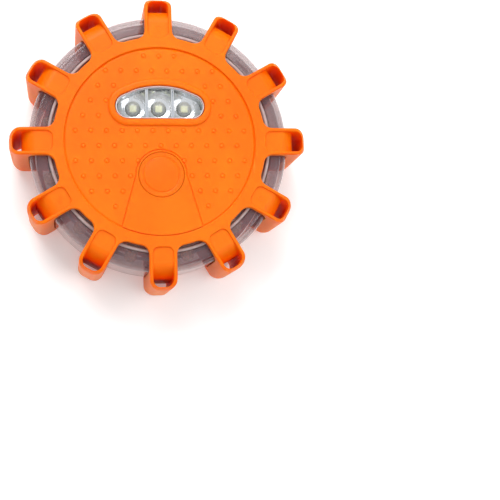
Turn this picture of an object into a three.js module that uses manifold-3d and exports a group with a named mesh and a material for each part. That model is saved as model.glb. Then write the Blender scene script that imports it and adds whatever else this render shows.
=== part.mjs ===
// LED safety flare: a round battery flare with twelve bumper prongs around a clear lamp ring,
// a three-lamp window and a push button on its face, and a magnet and a fold-out hook on its back.
// Millimetres. The flare lies on its back: z = 0 is the back face, +Z is out of the lamp face and
// +Y points from the push button towards the lamp window.
import * as THREE from 'three';
import { mergeVertices } from 'three/addons/utils/BufferGeometryUtils.js';
import Module from 'manifold-3d';

const wasm = await Module();
wasm.setup();

// ---- Driving dimensions ----

const GAP = 0.3; // clearance between neighbouring pieces
const ROUND = 60; // facets around the large turned shapes
const JOIN = 0.4; // how far joined forms run into each other
const PAST = 1; // how far a cut runs past the surface it opens

// Heights of the front face's levels
const FACE_Z = 34.5; // outer band of the face and the prongs' tops
const PANEL_Z = 34; // sunk centre panel
const BUTTON_PANEL_Z = 34.35; // smooth keyhole panel around the push button
const LIP_Z = 35; // lip around the lamp window, the highest point
const PLATE_UNDER_Z = 32.2; // inner side of the front plate
const PLATE_ROOT_Z = 33; // inside the plate, where its raised forms start

// Shell plan
const DISC_R = 38.5;
const PANEL_R = 34.6;
const SPIGOT_R = 36.1; // rings inside both shells that centre the clear rings
const SPIGOT_WALL = 1.5;
const SPIGOT_HEIGHT = 3;

// Prongs
const PRONG_COUNT = 12;
const PRONG_STEP = 360 / PRONG_COUNT;
const PRONG_TIP_R = 54;
const PRONG_HALF_WIDTH = 5;
const PRONG_WALL = 1.3;
const PRONG_FILLET_R = 3.5;
const PRONG_CORNER_R = 4;
const PRONG_RIM_WIDTH = 5.5; // quarter-ellipse rounding of the prongs' upper and lower rims
const PRONG_RIM_HEIGHT = 6.5;
const STRAP_SINK = 0.7; // depth of the strap below the prong's rims
const STRAP_BEND_R = 44; // where the strap starts to curve down
const STRAP_OUTER_R = 49.6;
const STRAP_BEND_DEPTH = 7.3;
const POCKET_INNER_CORNER_R = 2.2;

// Clear rings
const LENS_R = 47.2;
const LENS_LOW_Z = 2.9;
const LENS_HIGH_Z = 31.9;
const LENS_WALL = 2;
const LENS_INNER_R = 36.4;
const FLANGE = 2;
const CORNER_WIDTH = 3.2; // quarter-ellipse rounding of the ring's edges
const CORNER_HEIGHT = 4.6;
const LUG = { turn: 45, length: 6.8, outerR: 48.7, lowZ: 8, height: 5 };

// Seals
const SEAL_R = 40;
const SEAL_SECTION_R = 0.6;
const SEAL_GROOVE = { halfWidth: 1, depth: 1.5 };

// Back cover
const COVER_R = 45;
const COVER_RIM_INNER_R = 43;
const COVER_RIM_LOW_Z = 0.8;
const COVER_HIGH_Z = 2.6;
const COVER_TAB = { halfWidth: 4.9, length: 2, cornerR: 0.5, filletR: 2.5 };
const COVER_OPENING_R = COVER_R + GAP;
const COVER_OPENING_TOP_Z = 3.1;

// Magnet
const MAGNET = { radius: 10, height: 3.5, chamfer: 0.5, bossRadius: 12.6, bossHighZ: 5.3 };

// Case screws
const CASE_SCREW_X = 27;
const CASE_SCREW = { headR: 3.7, headLowZ: 0.4, headHighZ: 2.3, shankR: 1.4, tipZ: 15 };
const CASE_SCREW_BORE_R = 4.4;
const SCREW_FORM = {
  crown: 0.62,
  shoulder: 0.94,
  shoulderDrop: 0.6,
  armLength: 0.52,
  armWidth: 0.13,
  recessDepth: 1,
  pointLength: 1.5,
};
const CASE_POST_R = 3.4;
const COVER_BOSS = { radius: 5.7, highZ: 4.4 };

// Fold-out hook, drawn as seen from behind and then mirrored into place
const HOOK = {
  thickness: 2.8,
  midR: 17.2,
  halfWidth: 3.05,
  centreX: -0.5,
  upperY: 5,
  lowerY: -6,
  tipAngle: -2.3,
  tipDepth: 2,
  neckLeftX: -1.7,
  neckRightX: 5.3,
  neckCornerR: 2.5,
  pinY: -31.2,
  pinZ: 1.6,
  knuckleR: 1.6,
  channelDepth: 0.8,
  channelInset: 1.65,
  channelEndY: -26.4,
};
const HOOK_PIN = { radius: 0.8, lowX: -4.9, highX: 8.5 };
const HOOK_RECESS = {
  clearance: 0.4,
  floorZ: 3.1,
  backingWall: 1.5,
  backingHighZ: 4.7,
  knuckleFloorZ: 3.6,
};
const FINGER_SCOOP = { centreX: -1.7, lowY: 24.6, halfWidth: 4.15, height: 5.1, depth: 1.6 };

// Lamp window
const WINDOW_Y = 14.1;
const WINDOW = { endX: 11.5, endY: -1.3, endR: 4.8, archY: -24.3, archR: 30.7 };
const WINDOW_LIP = 2.4;
const WINDOW_SOCKET = { wall: 1.4, lowZ: 27 };
const WINDOW_LENS = { lowZ: 33.2, highZ: 34.4 };
const REFLECTOR = { lowZ: 26.2, highZ: 32.9, cupTopR: 5.2, cupBottomR: 2.85, cupLowZ: 26.7 };

// Lamps: 5 mm leaded domes
const LED = { radius: 2.5, flangeR: 2.9, flangeHeight: 1, barrel: 6.1, legSpacing: 1.27, legSize: 0.5 };
const WHITE_LED_PITCH = 9.4;
const WHITE_LED_Y = 13.2;
const WHITE_LED_Z = 23.4;
const AMBER_LED_R = 35;
const AMBER_LED_Z = 15.8;
const AMBER_LEG_LENGTH = 2;

// Push button and its switch
const BUTTON_Y = -12.3;
const BUTTON_R = 8;
const BUTTON = { stemR: 1.8, flangeWidth: 1.4, flangeHeight: 1.2, crownR: 6.4, crownHeight: 0.35 };
const BUTTON_PANEL_R = 9;
const BUTTON_PANEL_FOOT_ANGLE = 24.8;
const BUTTON_PANEL_OVERLAP = 0.2; // how far the panel runs into the face's outer band
const SWITCH = { side: 6, height: 3.5, boreR: 2.05, boreDepth: 2.2, plungerR: 1.75 };
const PLUNGER = { lowZ: 23.2, highZ: 24.8 };

// Circuit board
const BOARD = { radius: 36, lowZ: 19, highZ: 20.6 };
const BOARD_SCREWS = [[23, 16], [-23, -16]];
const CHIP = { x: 14, y: -18, width: 4.9, depth: 3.9, height: 1.5 };
const BOARD_POST_R = 2.6;
const BOARD_SCREW = { headR: 2, headLowZ: 17.2, headHighZ: 18.7, shankR: 1, tipZ: 26 };

// Batteries: three AAA cells side by side
const CELL = {
  radius: 5.25,
  length: 44.5,
  edge: 0.4,
  nubR: 1.9,
  nubLength: 0.8,
  pitch: 11.6,
  z: 11.6,
  endY: 23.9,
};
const TRAY = {
  halfX: 17.2,
  halfY: 24.9,
  wall: 1.3,
  lowZ: 6,
  floorZ: 17.3,
  highZ: 18.7,
  ribWidth: 1,
  ribHeight: 2.8,
  ribInset: 4,
};
const CONTACT = { thickness: 0.4, side: 9, y: 24.2 };
const SPRING = { wireR: 0.35, outerR: 3.4, innerR: 1.9, turns: 2.5, length: 2.2 };

// ---- Materials ----

function material(color, roughness, metalness = 0) {
  return new THREE.MeshStandardMaterial({ color, roughness, metalness });
}

function clearMaterial(color, roughness) {
  const clear = material(color, roughness);
  clear.transparent = true;
  clear.opacity = 0.35;
  return clear;
}

const orangePlastic = () => material(0xff7d22, 0.45);
const clearPlastic = () => clearMaterial(0xd8cfd0, 0.08);
const chrome = () => material(0xdfe3e6, 0.08, 1);
const zinc = () => material(0xc9cbc8, 0.3, 1);
const steel = () => material(0x8d9499, 0.28, 1);
const brass = () => material(0xc9a558, 0.35, 1);
const blackPlastic = () => material(0x222222, 0.5);
const boardGreen = () => material(0x1d6b3a, 0.5);
const cellJacket = () => material(0x2f3437, 0.35);
const whiteLamp = () => material(0xf2efd0, 0.1);
const amberLamp = () => material(0xf0a030, 0.15);
const sealRubber = () => material(0x2b2b2b, 0.8);

// ---- Geometry helpers ----

const radians = THREE.MathUtils.degToRad;

// Points on an arc, both ends included, as [x, y] pairs.
function arc(x, y, radius, fromDegrees, toDegrees, steps) {
  const points = [];
  for (let i = 0; i <= steps; i += 1) {
    const angle = radians(fromDegrees + ((toDegrees - fromDegrees) * i) / steps);
    points.push([x + radius * Math.cos(angle), y + radius * Math.sin(angle)]);
  }
  return points;
}

function turned(points, degrees) {
  const cos = Math.cos(radians(degrees));
  const sin = Math.sin(radians(degrees));
  return points.map(([x, y]) => [x * cos - y * sin, x * sin + y * cos]);
}

function vectors(points) {
  return points.map(([x, y]) => new THREE.Vector2(x, y));
}

// A turned shape about Z from [radius, z] pairs that run anticlockwise around the section.
function revolved(points, facets = ROUND) {
  return new THREE.LatheGeometry(vectors(points), facets).rotateX(Math.PI / 2);
}

function revolvedRing(points, facets = ROUND) {
  return revolved([...points, points[0]], facets);
}

function rod(radius, lowZ, highZ, facets = 16) {
  return revolved([[0, lowZ], [radius, lowZ], [radius, highZ], [0, highZ]], facets);
}

function tube(innerR, outerR, lowZ, highZ, facets = ROUND) {
  return revolvedRing([[innerR, lowZ], [outerR, lowZ], [outerR, highZ], [innerR, highZ]], facets);
}

// A flat plate of the given outline between two heights.
function plate(points, lowZ, highZ) {
  const options = { depth: highZ - lowZ, bevelEnabled: false };
  return new THREE.ExtrudeGeometry(new THREE.Shape(vectors(points)), options).translate(0, 0, lowZ);
}

// A box between two corners.
function block(low, high) {
  const size = high.map((value, i) => value - low[i]);
  const centre = high.map((value, i) => (value + low[i]) / 2);
  return new THREE.BoxGeometry(...size).translate(...centre);
}

// A radial section of [radius, z] pairs, extruded across +X and centred on y = 0.
function radialSlab(points, width) {
  const options = { depth: width, bevelEnabled: false };
  const slab = new THREE.ExtrudeGeometry(new THREE.Shape(vectors(points)), options);
  return slab.rotateX(Math.PI / 2).translate(0, width / 2, 0);
}

// A closed three.js geometry as a solid that can be joined and cut.
function solid(geometry) {
  const bare = new THREE.BufferGeometry();
  bare.setAttribute('position', geometry.getAttribute('position').clone());
  bare.setIndex(geometry.getIndex());
  const merged = mergeVertices(bare, 1e-4);
  const index = merged.getIndex().array;
  const corners = [];
  for (let i = 0; i < index.length; i += 3) {
    const [a, b, c] = [index[i], index[i + 1], index[i + 2]];
    if (a !== b && b !== c && c !== a) corners.push(a, b, c);
  }
  const vertProperties = new Float32Array(merged.getAttribute('position').array);
  const triVerts = new Uint32Array(corners);
  return new wasm.Manifold(new wasm.Mesh({ numProp: 3, vertProperties, triVerts }));
}

function joined(...geometries) {
  return geometries.map(solid).reduce((whole, piece) => whole.add(piece));
}

function geometryOf(whole) {
  const mesh = whole.getMesh();
  const geometry = new THREE.BufferGeometry();
  geometry.setAttribute('position', new THREE.BufferAttribute(new Float32Array(mesh.vertProperties), 3));
  geometry.setIndex(new THREE.BufferAttribute(new Uint32Array(mesh.triVerts), 1));
  return geometry;
}

function piece(name, geometry, surface) {
  const mesh = new THREE.Mesh(geometry, surface);
  mesh.name = name;
  return mesh;
}

// ---- Outlines shared by several pieces ----

// One prong along +X: root fillet, side, rounded tip, side, root fillet.
function prongOutline(halfWidth, tipR, cornerR, filletR, cornerSteps) {
  const offset = halfWidth + filletR;
  const filletX = Math.sqrt((DISC_R + filletR) ** 2 - offset ** 2);
  const rootAngle = 180 - THREE.MathUtils.radToDeg(Math.atan2(offset, filletX));
  const cornerX = tipR - cornerR;
  return [
    ...arc(filletX, -offset, filletR, rootAngle, 90, 3),
    ...arc(cornerX, cornerR - halfWidth, cornerR, -90, 0, cornerSteps),
    ...arc(cornerX, halfWidth - cornerR, cornerR, 0, 90, cornerSteps),
    ...arc(filletX, offset, filletR, -90, -rootAngle, 3),
    ...turned([[DISC_R, 0]], PRONG_STEP / 2),
  ];
}

function prongedDisc(halfWidth, tipR, cornerR, filletR, cornerSteps) {
  const prong = prongOutline(halfWidth, tipR, cornerR, filletR, cornerSteps);
  const outline = [];
  for (let i = 0; i < PRONG_COUNT; i += 1) {
    outline.push(...turned(prong, i * PRONG_STEP));
  }
  return outline;
}

// The lamp window's outline, grown by an offset: straight foot, round ends and a shallow arch.
function windowOutline(offset) {
  const { endX, endY, endR, archY, archR } = WINDOW;
  const outline = [
    ...arc(endX, endY, endR + offset, -90, 62, 7),
    ...arc(0, archY, archR + offset, 73.9, 106.1, 6),
    ...arc(-endX, endY, endR + offset, 118, 270, 7),
  ];
  return outline.map(([x, y]) => [x, y + WINDOW_Y]);
}

// The hook's outline, grown by an offset. Seen from behind, it runs from its tip over the top,
// down the left side and round to a neck that ends at the pivot; the result is mirrored in X.
function hookOutline(offset, neckEndY) {
  const { midR, centreX, upperY, lowerY, tipAngle, tipDepth, neckLeftX, neckRightX, neckCornerR } = HOOK;
  const half = HOOK.halfWidth + offset;
  const outerR = midR + half;
  const innerR = midR - half;
  const leftX = neckLeftX - offset;
  const rightX = neckRightX + offset;
  const neckAngle = 180 + THREE.MathUtils.radToDeg(Math.acos((centreX - leftX) / outerR));
  const tipCentre = arc(centreX, upperY, midR, tipAngle, tipAngle, 1)[0];
  const tip = arc(0, 0, 1, 180, 360, 6).map(([across, along]) => [
    tipCentre[0] + half * across,
    tipCentre[1] + (tipDepth + offset) * along,
  ]);
  const cornerX = neckRightX - neckCornerR;
  const cornerY = lowerY - midR + HOOK.halfWidth - neckCornerR;
  const outline = [
    ...tip,
    ...arc(centreX, upperY, outerR, 0, 180, 16).slice(1),
    ...arc(centreX, lowerY, outerR, 180, neckAngle, 7),
    [leftX, neckEndY],
    [rightX, neckEndY],
    ...arc(cornerX, cornerY, neckCornerR + offset, 0, 90, 3),
    ...arc(centreX, lowerY, innerR, 270, 180, 6),
    ...arc(centreX, upperY, innerR, 180, 0, 14).slice(0, -1),
  ];
  return outline.map(([x, y]) => [-x, y]);
}

// The clear ring's rounded outer side from its lower edge to its upper edge, grown by an offset.
function ringSide(offset, startAngle = 0) {
  const centreR = LENS_R - CORNER_WIDTH;
  const lowZ = LENS_LOW_Z + CORNER_HEIGHT;
  const highZ = LENS_HIGH_Z - CORNER_HEIGHT;
  const side = [];
  const steps = 3;
  for (let i = 0; i <= steps; i += 1) {
    const angle = radians(startAngle + ((90 - startAngle) * i) / steps);
    const r = centreR + offset + CORNER_WIDTH * Math.sin(angle);
    side.push([r, lowZ - offset - CORNER_HEIGHT * Math.cos(angle)]);
  }
  for (let i = steps; i >= 0; i -= 1) {
    const angle = radians((90 * i) / steps);
    const r = centreR + offset + CORNER_WIDTH * Math.sin(angle);
    side.push([r, highZ + offset + CORNER_HEIGHT * Math.cos(angle)]);
  }
  return side;
}

// ---- Front shell ----

// The turned envelope of face and prongs, with rounded rims.
function frontEnvelope() {
  const rimR = PRONG_TIP_R - PRONG_RIM_WIDTH;
  const lowRim = arc(0, 0, 1, -90, 0, 4).map(([out, up]) => [
    rimR + PRONG_RIM_WIDTH * out,
    PRONG_RIM_HEIGHT * (1 + up),
  ]);
  const highRim = lowRim.map(([r, z]) => [r, FACE_Z - z]).reverse();
  return revolved([
    [0, 0],
    ...lowRim,
    ...highRim,
    [PANEL_R, FACE_Z],
    [PANEL_R, PANEL_Z],
    [0, PANEL_Z],
  ]);
}

// The room that the clear rings and the back cover take up inside the prongs.
function frontCavity() {
  const side = ringSide(GAP).filter(([r, z]) => r > COVER_OPENING_R || z > FACE_Z / 2);
  return revolved([
    [0, -PAST],
    [COVER_OPENING_R, -PAST],
    [COVER_OPENING_R, COVER_OPENING_TOP_Z],
    ...side,
    [0, PLATE_UNDER_Z],
  ]);
}

// The pocket of one prong along +X: sunk strap on both faces, joined by a slot behind the tip wall.
function prongPocket() {
  const halfWidth = PRONG_HALF_WIDTH - PRONG_WALL;
  const outerR = PRONG_TIP_R - PRONG_WALL;
  const bend = STRAP_OUTER_R - STRAP_BEND_R;
  const backCurve = arc(0, 0, 1, 0, 90, 4).map(([out, up]) => [
    STRAP_BEND_R + bend * out,
    STRAP_SINK + STRAP_BEND_DEPTH * (1 - up),
  ]);
  const faceCurve = backCurve.map(([r, z]) => [r, FACE_Z - z]).reverse();
  const section = [
    [DISC_R, FACE_Z + PAST],
    [DISC_R, FACE_Z - STRAP_SINK],
    ...faceCurve,
    ...backCurve,
    [COVER_RIM_INNER_R, STRAP_SINK],
    [COVER_RIM_INNER_R, -PAST],
    [outerR, -PAST],
    [outerR, FACE_Z + PAST],
  ];
  const innerCornerR = POCKET_INNER_CORNER_R;
  const outerCornerR = PRONG_CORNER_R - PRONG_WALL;
  const innerX = DISC_R + innerCornerR;
  const outerX = outerR - outerCornerR;
  const plan = [
    ...arc(innerX, innerCornerR - halfWidth, innerCornerR, 180, 270, 2),
    ...arc(outerX, outerCornerR - halfWidth, outerCornerR, -90, 0, 2),
    ...arc(outerX, halfWidth - outerCornerR, outerCornerR, 0, 90, 2),
    ...arc(innerX, halfWidth - innerCornerR, innerCornerR, 90, 180, 2),
  ];
  return solid(radialSlab(section, 3 * halfWidth)).intersect(solid(plate(plan, -PAST, FACE_Z + PAST)));
}

function post(x, y, radius, lowZ) {
  return solid(rod(radius, lowZ, PLATE_UNDER_Z + JOIN, 16)).translate([x, y, 0]);
}

function bore(x, y, radius, lowZ, highZ) {
  return solid(rod(radius, lowZ, highZ, 12)).translate([x, y, 0]);
}

function buttonPanel() {
  const foot = BUTTON_PANEL_FOOT_ANGLE;
  const outline = [
    ...arc(0, BUTTON_Y, BUTTON_PANEL_R, 0, 180, 18),
    ...arc(0, 0, PANEL_R + BUTTON_PANEL_OVERLAP, 270 - foot, 270 + foot, 8),
  ];
  return solid(plate(outline, PLATE_ROOT_Z, BUTTON_PANEL_Z));
}

function frontShell() {
  const plan = prongedDisc(PRONG_HALF_WIDTH, PRONG_TIP_R, PRONG_CORNER_R, PRONG_FILLET_R, 3);
  let shell = solid(plate(plan, 0, FACE_Z)).intersect(solid(frontEnvelope()));
  shell = shell.subtract(solid(frontCavity()));
  for (let i = 0; i < PRONG_COUNT; i += 1) {
    shell = shell.subtract(prongPocket().rotate([0, 0, i * PRONG_STEP]));
  }
  const spigotLowZ = PLATE_UNDER_Z - SPIGOT_HEIGHT;
  const spigot = tube(SPIGOT_R - SPIGOT_WALL, SPIGOT_R, spigotLowZ, PLATE_UNDER_Z + JOIN, 36);
  shell = shell.add(solid(spigot));
  shell = shell.add(buttonPanel());
  shell = shell.add(solid(plate(windowOutline(WINDOW_LIP), PLATE_ROOT_Z, LIP_Z)));
  shell = shell.add(solid(plate(windowOutline(WINDOW_SOCKET.wall), WINDOW_SOCKET.lowZ, PLATE_ROOT_Z)));
  shell = shell.subtract(solid(plate(windowOutline(0), 0, LIP_Z + PAST)));
  shell = shell.subtract(solid(rod(BUTTON_R + GAP, 0, FACE_Z + PAST, 30)).translate([0, BUTTON_Y, 0]));
  const postLowZ = COVER_BOSS.highZ + GAP;
  for (const x of [-CASE_SCREW_X, CASE_SCREW_X]) {
    shell = shell.add(post(x, 0, CASE_POST_R, postLowZ));
    shell = shell.subtract(bore(x, 0, CASE_SCREW.shankR + GAP, 0, CASE_SCREW.tipZ + PAST));
  }
  for (const [x, y] of BOARD_SCREWS) {
    shell = shell.add(post(x, y, BOARD_POST_R, BOARD.highZ + GAP));
    shell = shell.subtract(bore(x, y, BOARD_SCREW.shankR + GAP, 0, BOARD_SCREW.tipZ + PAST));
  }
  return geometryOf(shell);
}

// ---- Clear rings and seals ----

function clearLensRing() {
  const innerR = LENS_R - LENS_WALL;
  const startAngle = THREE.MathUtils.radToDeg(Math.asin((innerR - LENS_R + CORNER_WIDTH) / CORNER_WIDTH));
  const { halfWidth, depth } = SEAL_GROOVE;
  const section = [
    ...ringSide(0, startAngle),
    [SEAL_R + halfWidth, LENS_HIGH_Z],
    [SEAL_R + halfWidth, LENS_HIGH_Z - depth],
    [SEAL_R - halfWidth, LENS_HIGH_Z - depth],
    [SEAL_R - halfWidth, LENS_HIGH_Z],
    [LENS_INNER_R, LENS_HIGH_Z],
    [LENS_INNER_R, LENS_HIGH_Z - FLANGE],
    [innerR, LENS_HIGH_Z - FLANGE],
  ];
  let ring = solid(revolvedRing(section));
  for (const turn of [-LUG.turn, LUG.turn]) {
    const half = LUG.length / 2;
    const lug = block([-half, innerR + JOIN, LUG.lowZ], [half, LUG.outerR, LUG.lowZ + LUG.height]);
    ring = ring.add(solid(lug).rotate([0, 0, turn]));
  }
  return geometryOf(ring);
}

function clearBaseRing() {
  const { halfWidth, depth } = SEAL_GROOVE;
  const outerR = LENS_R - LENS_WALL - GAP;
  return revolvedRing([
    [LENS_INNER_R, LENS_LOW_Z],
    [SEAL_R - halfWidth, LENS_LOW_Z],
    [SEAL_R - halfWidth, LENS_LOW_Z + depth],
    [SEAL_R + halfWidth, LENS_LOW_Z + depth],
    [SEAL_R + halfWidth, LENS_LOW_Z],
    [outerR, LENS_LOW_Z],
    [outerR, LENS_LOW_Z + FLANGE],
    [LENS_INNER_R, LENS_LOW_Z + FLANGE],
  ], 48);
}

function seal() {
  return revolvedRing(arc(SEAL_R, 0, SEAL_SECTION_R, 0, 288, 4), 36);
}

// ---- Back cover ----

// The cross bore for the hook's pin, from behind-view x to x.
function pinBore(radius, lowX, highX) {
  const rodAlongX = rod(radius, -highX, -lowX, 16).rotateY(Math.PI / 2);
  return solid(rodAlongX).translate([0, HOOK.pinY, HOOK.pinZ]);
}

function fingerScoop() {
  const { centreX, lowY, halfWidth, height, depth } = FINGER_SCOOP;
  const outline = arc(0, 0, 1, 0, 180, 8).map(([x, y]) => [-centreX + halfWidth * x, lowY + height * y]);
  return solid(plate(outline, -PAST, depth));
}

function backCover() {
  const { clearance, floorZ, backingWall, backingHighZ, knuckleFloorZ } = HOOK_RECESS;
  const joinZ = COVER_HIGH_Z - JOIN;
  const neckEndY = HOOK.pinY - HOOK.knuckleR;
  const { halfWidth, length, cornerR, filletR } = COVER_TAB;
  const tabs = prongedDisc(halfWidth, COVER_R + length, cornerR, filletR, 1);
  let cover = solid(plate(tabs, 0, COVER_HIGH_Z));
  cover = cover.intersect(solid(rod(COVER_R, -PAST, COVER_HIGH_Z, ROUND)));
  cover = cover.add(solid(tube(COVER_RIM_INNER_R, COVER_R, COVER_RIM_LOW_Z, COVER_HIGH_Z)));
  cover = cover.add(solid(tube(SPIGOT_R - SPIGOT_WALL, SPIGOT_R, joinZ, LENS_LOW_Z + FLANGE, 36)));
  cover = cover.add(solid(rod(MAGNET.bossRadius, joinZ, MAGNET.bossHighZ, 36)));
  cover = cover.add(solid(plate(hookOutline(clearance + backingWall, neckEndY), joinZ, backingHighZ)));
  const pivotLow = [-HOOK_PIN.highX - backingWall, neckEndY - backingWall, joinZ];
  const pivotHigh = [-HOOK_PIN.lowX + backingWall, HOOK.pinY + 2 * backingWall, backingHighZ];
  cover = cover.add(solid(block(pivotLow, pivotHigh)));
  for (const x of [-CASE_SCREW_X, CASE_SCREW_X]) {
    cover = cover.add(solid(rod(COVER_BOSS.radius, joinZ, COVER_BOSS.highZ, 24)).translate([x, 0, 0]));
    cover = cover.subtract(bore(x, 0, CASE_SCREW_BORE_R, -PAST, CASE_SCREW.headHighZ + GAP));
    cover = cover.subtract(bore(x, 0, CASE_SCREW.shankR + GAP, -PAST, COVER_BOSS.highZ + PAST));
  }
  cover = cover.subtract(solid(rod(MAGNET.radius + GAP, -PAST, MAGNET.height + GAP, 36)));
  cover = cover.subtract(solid(plate(hookOutline(clearance, neckEndY - clearance), -PAST, floorZ)));
  const knuckleLow = [-HOOK.neckRightX - clearance, neckEndY - clearance, -PAST];
  const knuckleHigh = [-HOOK.neckLeftX + clearance, HOOK.pinY + HOOK.knuckleR + clearance, knuckleFloorZ];
  cover = cover.subtract(solid(block(knuckleLow, knuckleHigh)));
  cover = cover.subtract(pinBore(HOOK_PIN.radius + GAP, HOOK_PIN.lowX - GAP, HOOK_PIN.highX + GAP));
  cover = cover.subtract(fingerScoop());
  return geometryOf(cover);
}

// ---- Hook, pin, magnet and screws ----

function hook() {
  const { thickness, channelInset, channelDepth, channelEndY, neckLeftX, neckRightX, knuckleR } = HOOK;
  let whole = solid(plate(hookOutline(0, HOOK.pinY), 0, thickness));
  whole = whole.subtract(solid(plate(hookOutline(-channelInset, channelEndY), -PAST, channelDepth)));
  whole = whole.add(pinBore(knuckleR, neckLeftX, neckRightX));
  whole = whole.subtract(pinBore(HOOK_PIN.radius + GAP, neckLeftX - PAST, neckRightX + PAST));
  return geometryOf(whole);
}

function hookPin() {
  const length = HOOK_PIN.highX - HOOK_PIN.lowX;
  return rod(HOOK_PIN.radius, -length / 2, length / 2, 16).rotateY(Math.PI / 2);
}

function magnet() {
  const { radius, height, chamfer } = MAGNET;
  return revolved([[0, 0], [radius - chamfer, 0], [radius, chamfer], [radius, height], [0, height]], 36);
}

// A cross-recessed screw whose head faces -Z.
function screw({ headR, headLowZ, headHighZ, shankR, tipZ }) {
  const { crown, shoulder, shoulderDrop, armLength, armWidth, recessDepth, pointLength } = SCREW_FORM;
  const body = revolved([
    [0, headLowZ],
    [headR * crown, headLowZ],
    [headR * shoulder, headLowZ + shoulderDrop],
    [headR, headHighZ],
    [shankR, headHighZ],
    [shankR, tipZ - pointLength],
    [0, tipZ],
  ], 14);
  const arm = headR * armLength;
  const width = headR * armWidth;
  const depth = headLowZ + recessDepth;
  let cut = solid(body).subtract(solid(block([-arm, -width, headLowZ - PAST], [arm, width, depth])));
  cut = cut.subtract(solid(block([-width, -arm, headLowZ - PAST], [width, arm, depth])));
  return geometryOf(cut);
}

// ---- Lamp window ----

function reflector() {
  const { lowZ, highZ, cupTopR, cupBottomR, cupLowZ } = REFLECTOR;
  let whole = solid(plate(windowOutline(-GAP), lowZ, highZ));
  const section = [
    [0, lowZ - PAST],
    [cupBottomR, lowZ - PAST],
    [cupBottomR, cupLowZ],
    [cupTopR, highZ + JOIN],
    [0, highZ + JOIN],
  ];
  for (const i of [-1, 0, 1]) {
    whole = whole.subtract(solid(revolved(section, 16)).translate([i * WHITE_LED_PITCH, WHITE_LED_Y, 0]));
  }
  return geometryOf(whole);
}

// A leaded dome lamp pointing along +Z, flange at z = 0; the legs run back and then aside.
function led(legLength, legRise) {
  const { radius, flangeR, flangeHeight, barrel, legSpacing, legSize } = LED;
  const body = revolved([
    [0, 0],
    [flangeR, 0],
    [flangeR, flangeHeight],
    [radius, flangeHeight],
    ...arc(0, barrel, radius, 0, 90, 2),
  ], 8);
  let whole = solid(body);
  const half = legSize / 2;
  for (const x of [-legSpacing, legSpacing]) {
    whole = whole.add(solid(block([x - half, -half, -legLength], [x + half, half, JOIN])));
    if (legRise > 0) {
      const bent = block([x - half, -half, -legLength], [x + half, legRise, legSize - legLength]);
      whole = whole.add(solid(bent));
    }
  }
  return geometryOf(whole);
}

// ---- Push button and switch ----

function powerButton() {
  const flangeR = BUTTON_R + BUTTON.flangeWidth;
  const flangeHighZ = PLATE_UNDER_Z - GAP;
  const flangeLowZ = flangeHighZ - BUTTON.flangeHeight;
  const rimZ = BUTTON_PANEL_Z;
  const { stemR, crownR, crownHeight } = BUTTON;
  return revolved([
    [0, PLUNGER.highZ + GAP],
    [stemR, PLUNGER.highZ + GAP],
    [stemR, flangeLowZ],
    [flangeR, flangeLowZ],
    [flangeR, flangeHighZ],
    [BUTTON_R, flangeHighZ],
    [BUTTON_R, rimZ - GAP],
    [BUTTON_R - GAP, rimZ],
    [crownR, rimZ],
    [crownR - GAP, rimZ + crownHeight / 2],
    [0, rimZ + crownHeight],
  ], 30);
}

function switchBody() {
  const { side, height, boreR, boreDepth } = SWITCH;
  const half = side / 2;
  const body = solid(block([-half, -half, 0], [half, half, height]));
  return geometryOf(body.subtract(solid(rod(boreR, height - boreDepth, height + PAST, 16))));
}

// ---- Circuit board and batteries ----

function circuitBoard() {
  let board = solid(rod(BOARD.radius, BOARD.lowZ, BOARD.highZ, 48));
  for (const x of [-CASE_SCREW_X, CASE_SCREW_X]) {
    board = board.subtract(bore(x, 0, CASE_POST_R + 2 * GAP, 0, FACE_Z));
  }
  for (const [x, y] of BOARD_SCREWS) {
    board = board.subtract(bore(x, y, BOARD_SCREW.shankR + GAP, 0, FACE_Z));
  }
  return geometryOf(board);
}

// An open box that faces the back cover, with low ribs that part the cells.
function batteryTray() {
  const { halfX, halfY, wall, lowZ, floorZ, highZ, ribWidth, ribHeight, ribInset } = TRAY;
  const outer = block([-halfX - wall, -halfY - wall, lowZ], [halfX + wall, halfY + wall, highZ]);
  let tray = solid(outer).subtract(solid(block([-halfX, -halfY, lowZ - PAST], [halfX, halfY, floorZ])));
  for (const x of [-CELL.pitch / 2, CELL.pitch / 2]) {
    const low = [x - ribWidth / 2, ribInset - halfY, floorZ - ribHeight];
    const rib = block(low, [x + ribWidth / 2, halfY - ribInset, floorZ + JOIN]);
    tray = tray.add(solid(rib));
  }
  return geometryOf(tray);
}

// A cell along +Y with its positive end at y = 0.
function batteryCell() {
  const { radius, length, edge, nubR, nubLength } = CELL;
  return revolved([
    [0, -length],
    [radius - edge, -length],
    [radius, edge - length],
    [radius, -nubLength - edge],
    [radius - edge, -nubLength],
    [nubR, -nubLength],
    [nubR, 0],
    [0, 0],
  ], 16).rotateX(-Math.PI / 2);
}

function contactPlate(width) {
  return new THREE.BoxGeometry(width, CONTACT.thickness, CONTACT.side);
}

class ConicalCoil extends THREE.Curve {
  getPoint(t, target = new THREE.Vector3()) {
    const { outerR, innerR, turns, length } = SPRING;
    const angle = 2 * Math.PI * turns * t;
    const radius = outerR + (innerR - outerR) * t;
    return target.set(radius * Math.cos(angle), length * t, radius * Math.sin(angle));
  }
}

// A conical contact spring whose wide end is at y = 0 and whose narrow end is at +y.
function contactSpring() {
  const section = new THREE.Shape(vectors(arc(0, 0, SPRING.wireR, 0, 270, 3)));
  const options = { steps: 20, extrudePath: new ConicalCoil(), bevelEnabled: false };
  return new THREE.ExtrudeGeometry(section, options);
}

// ---- Assembly ----

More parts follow.
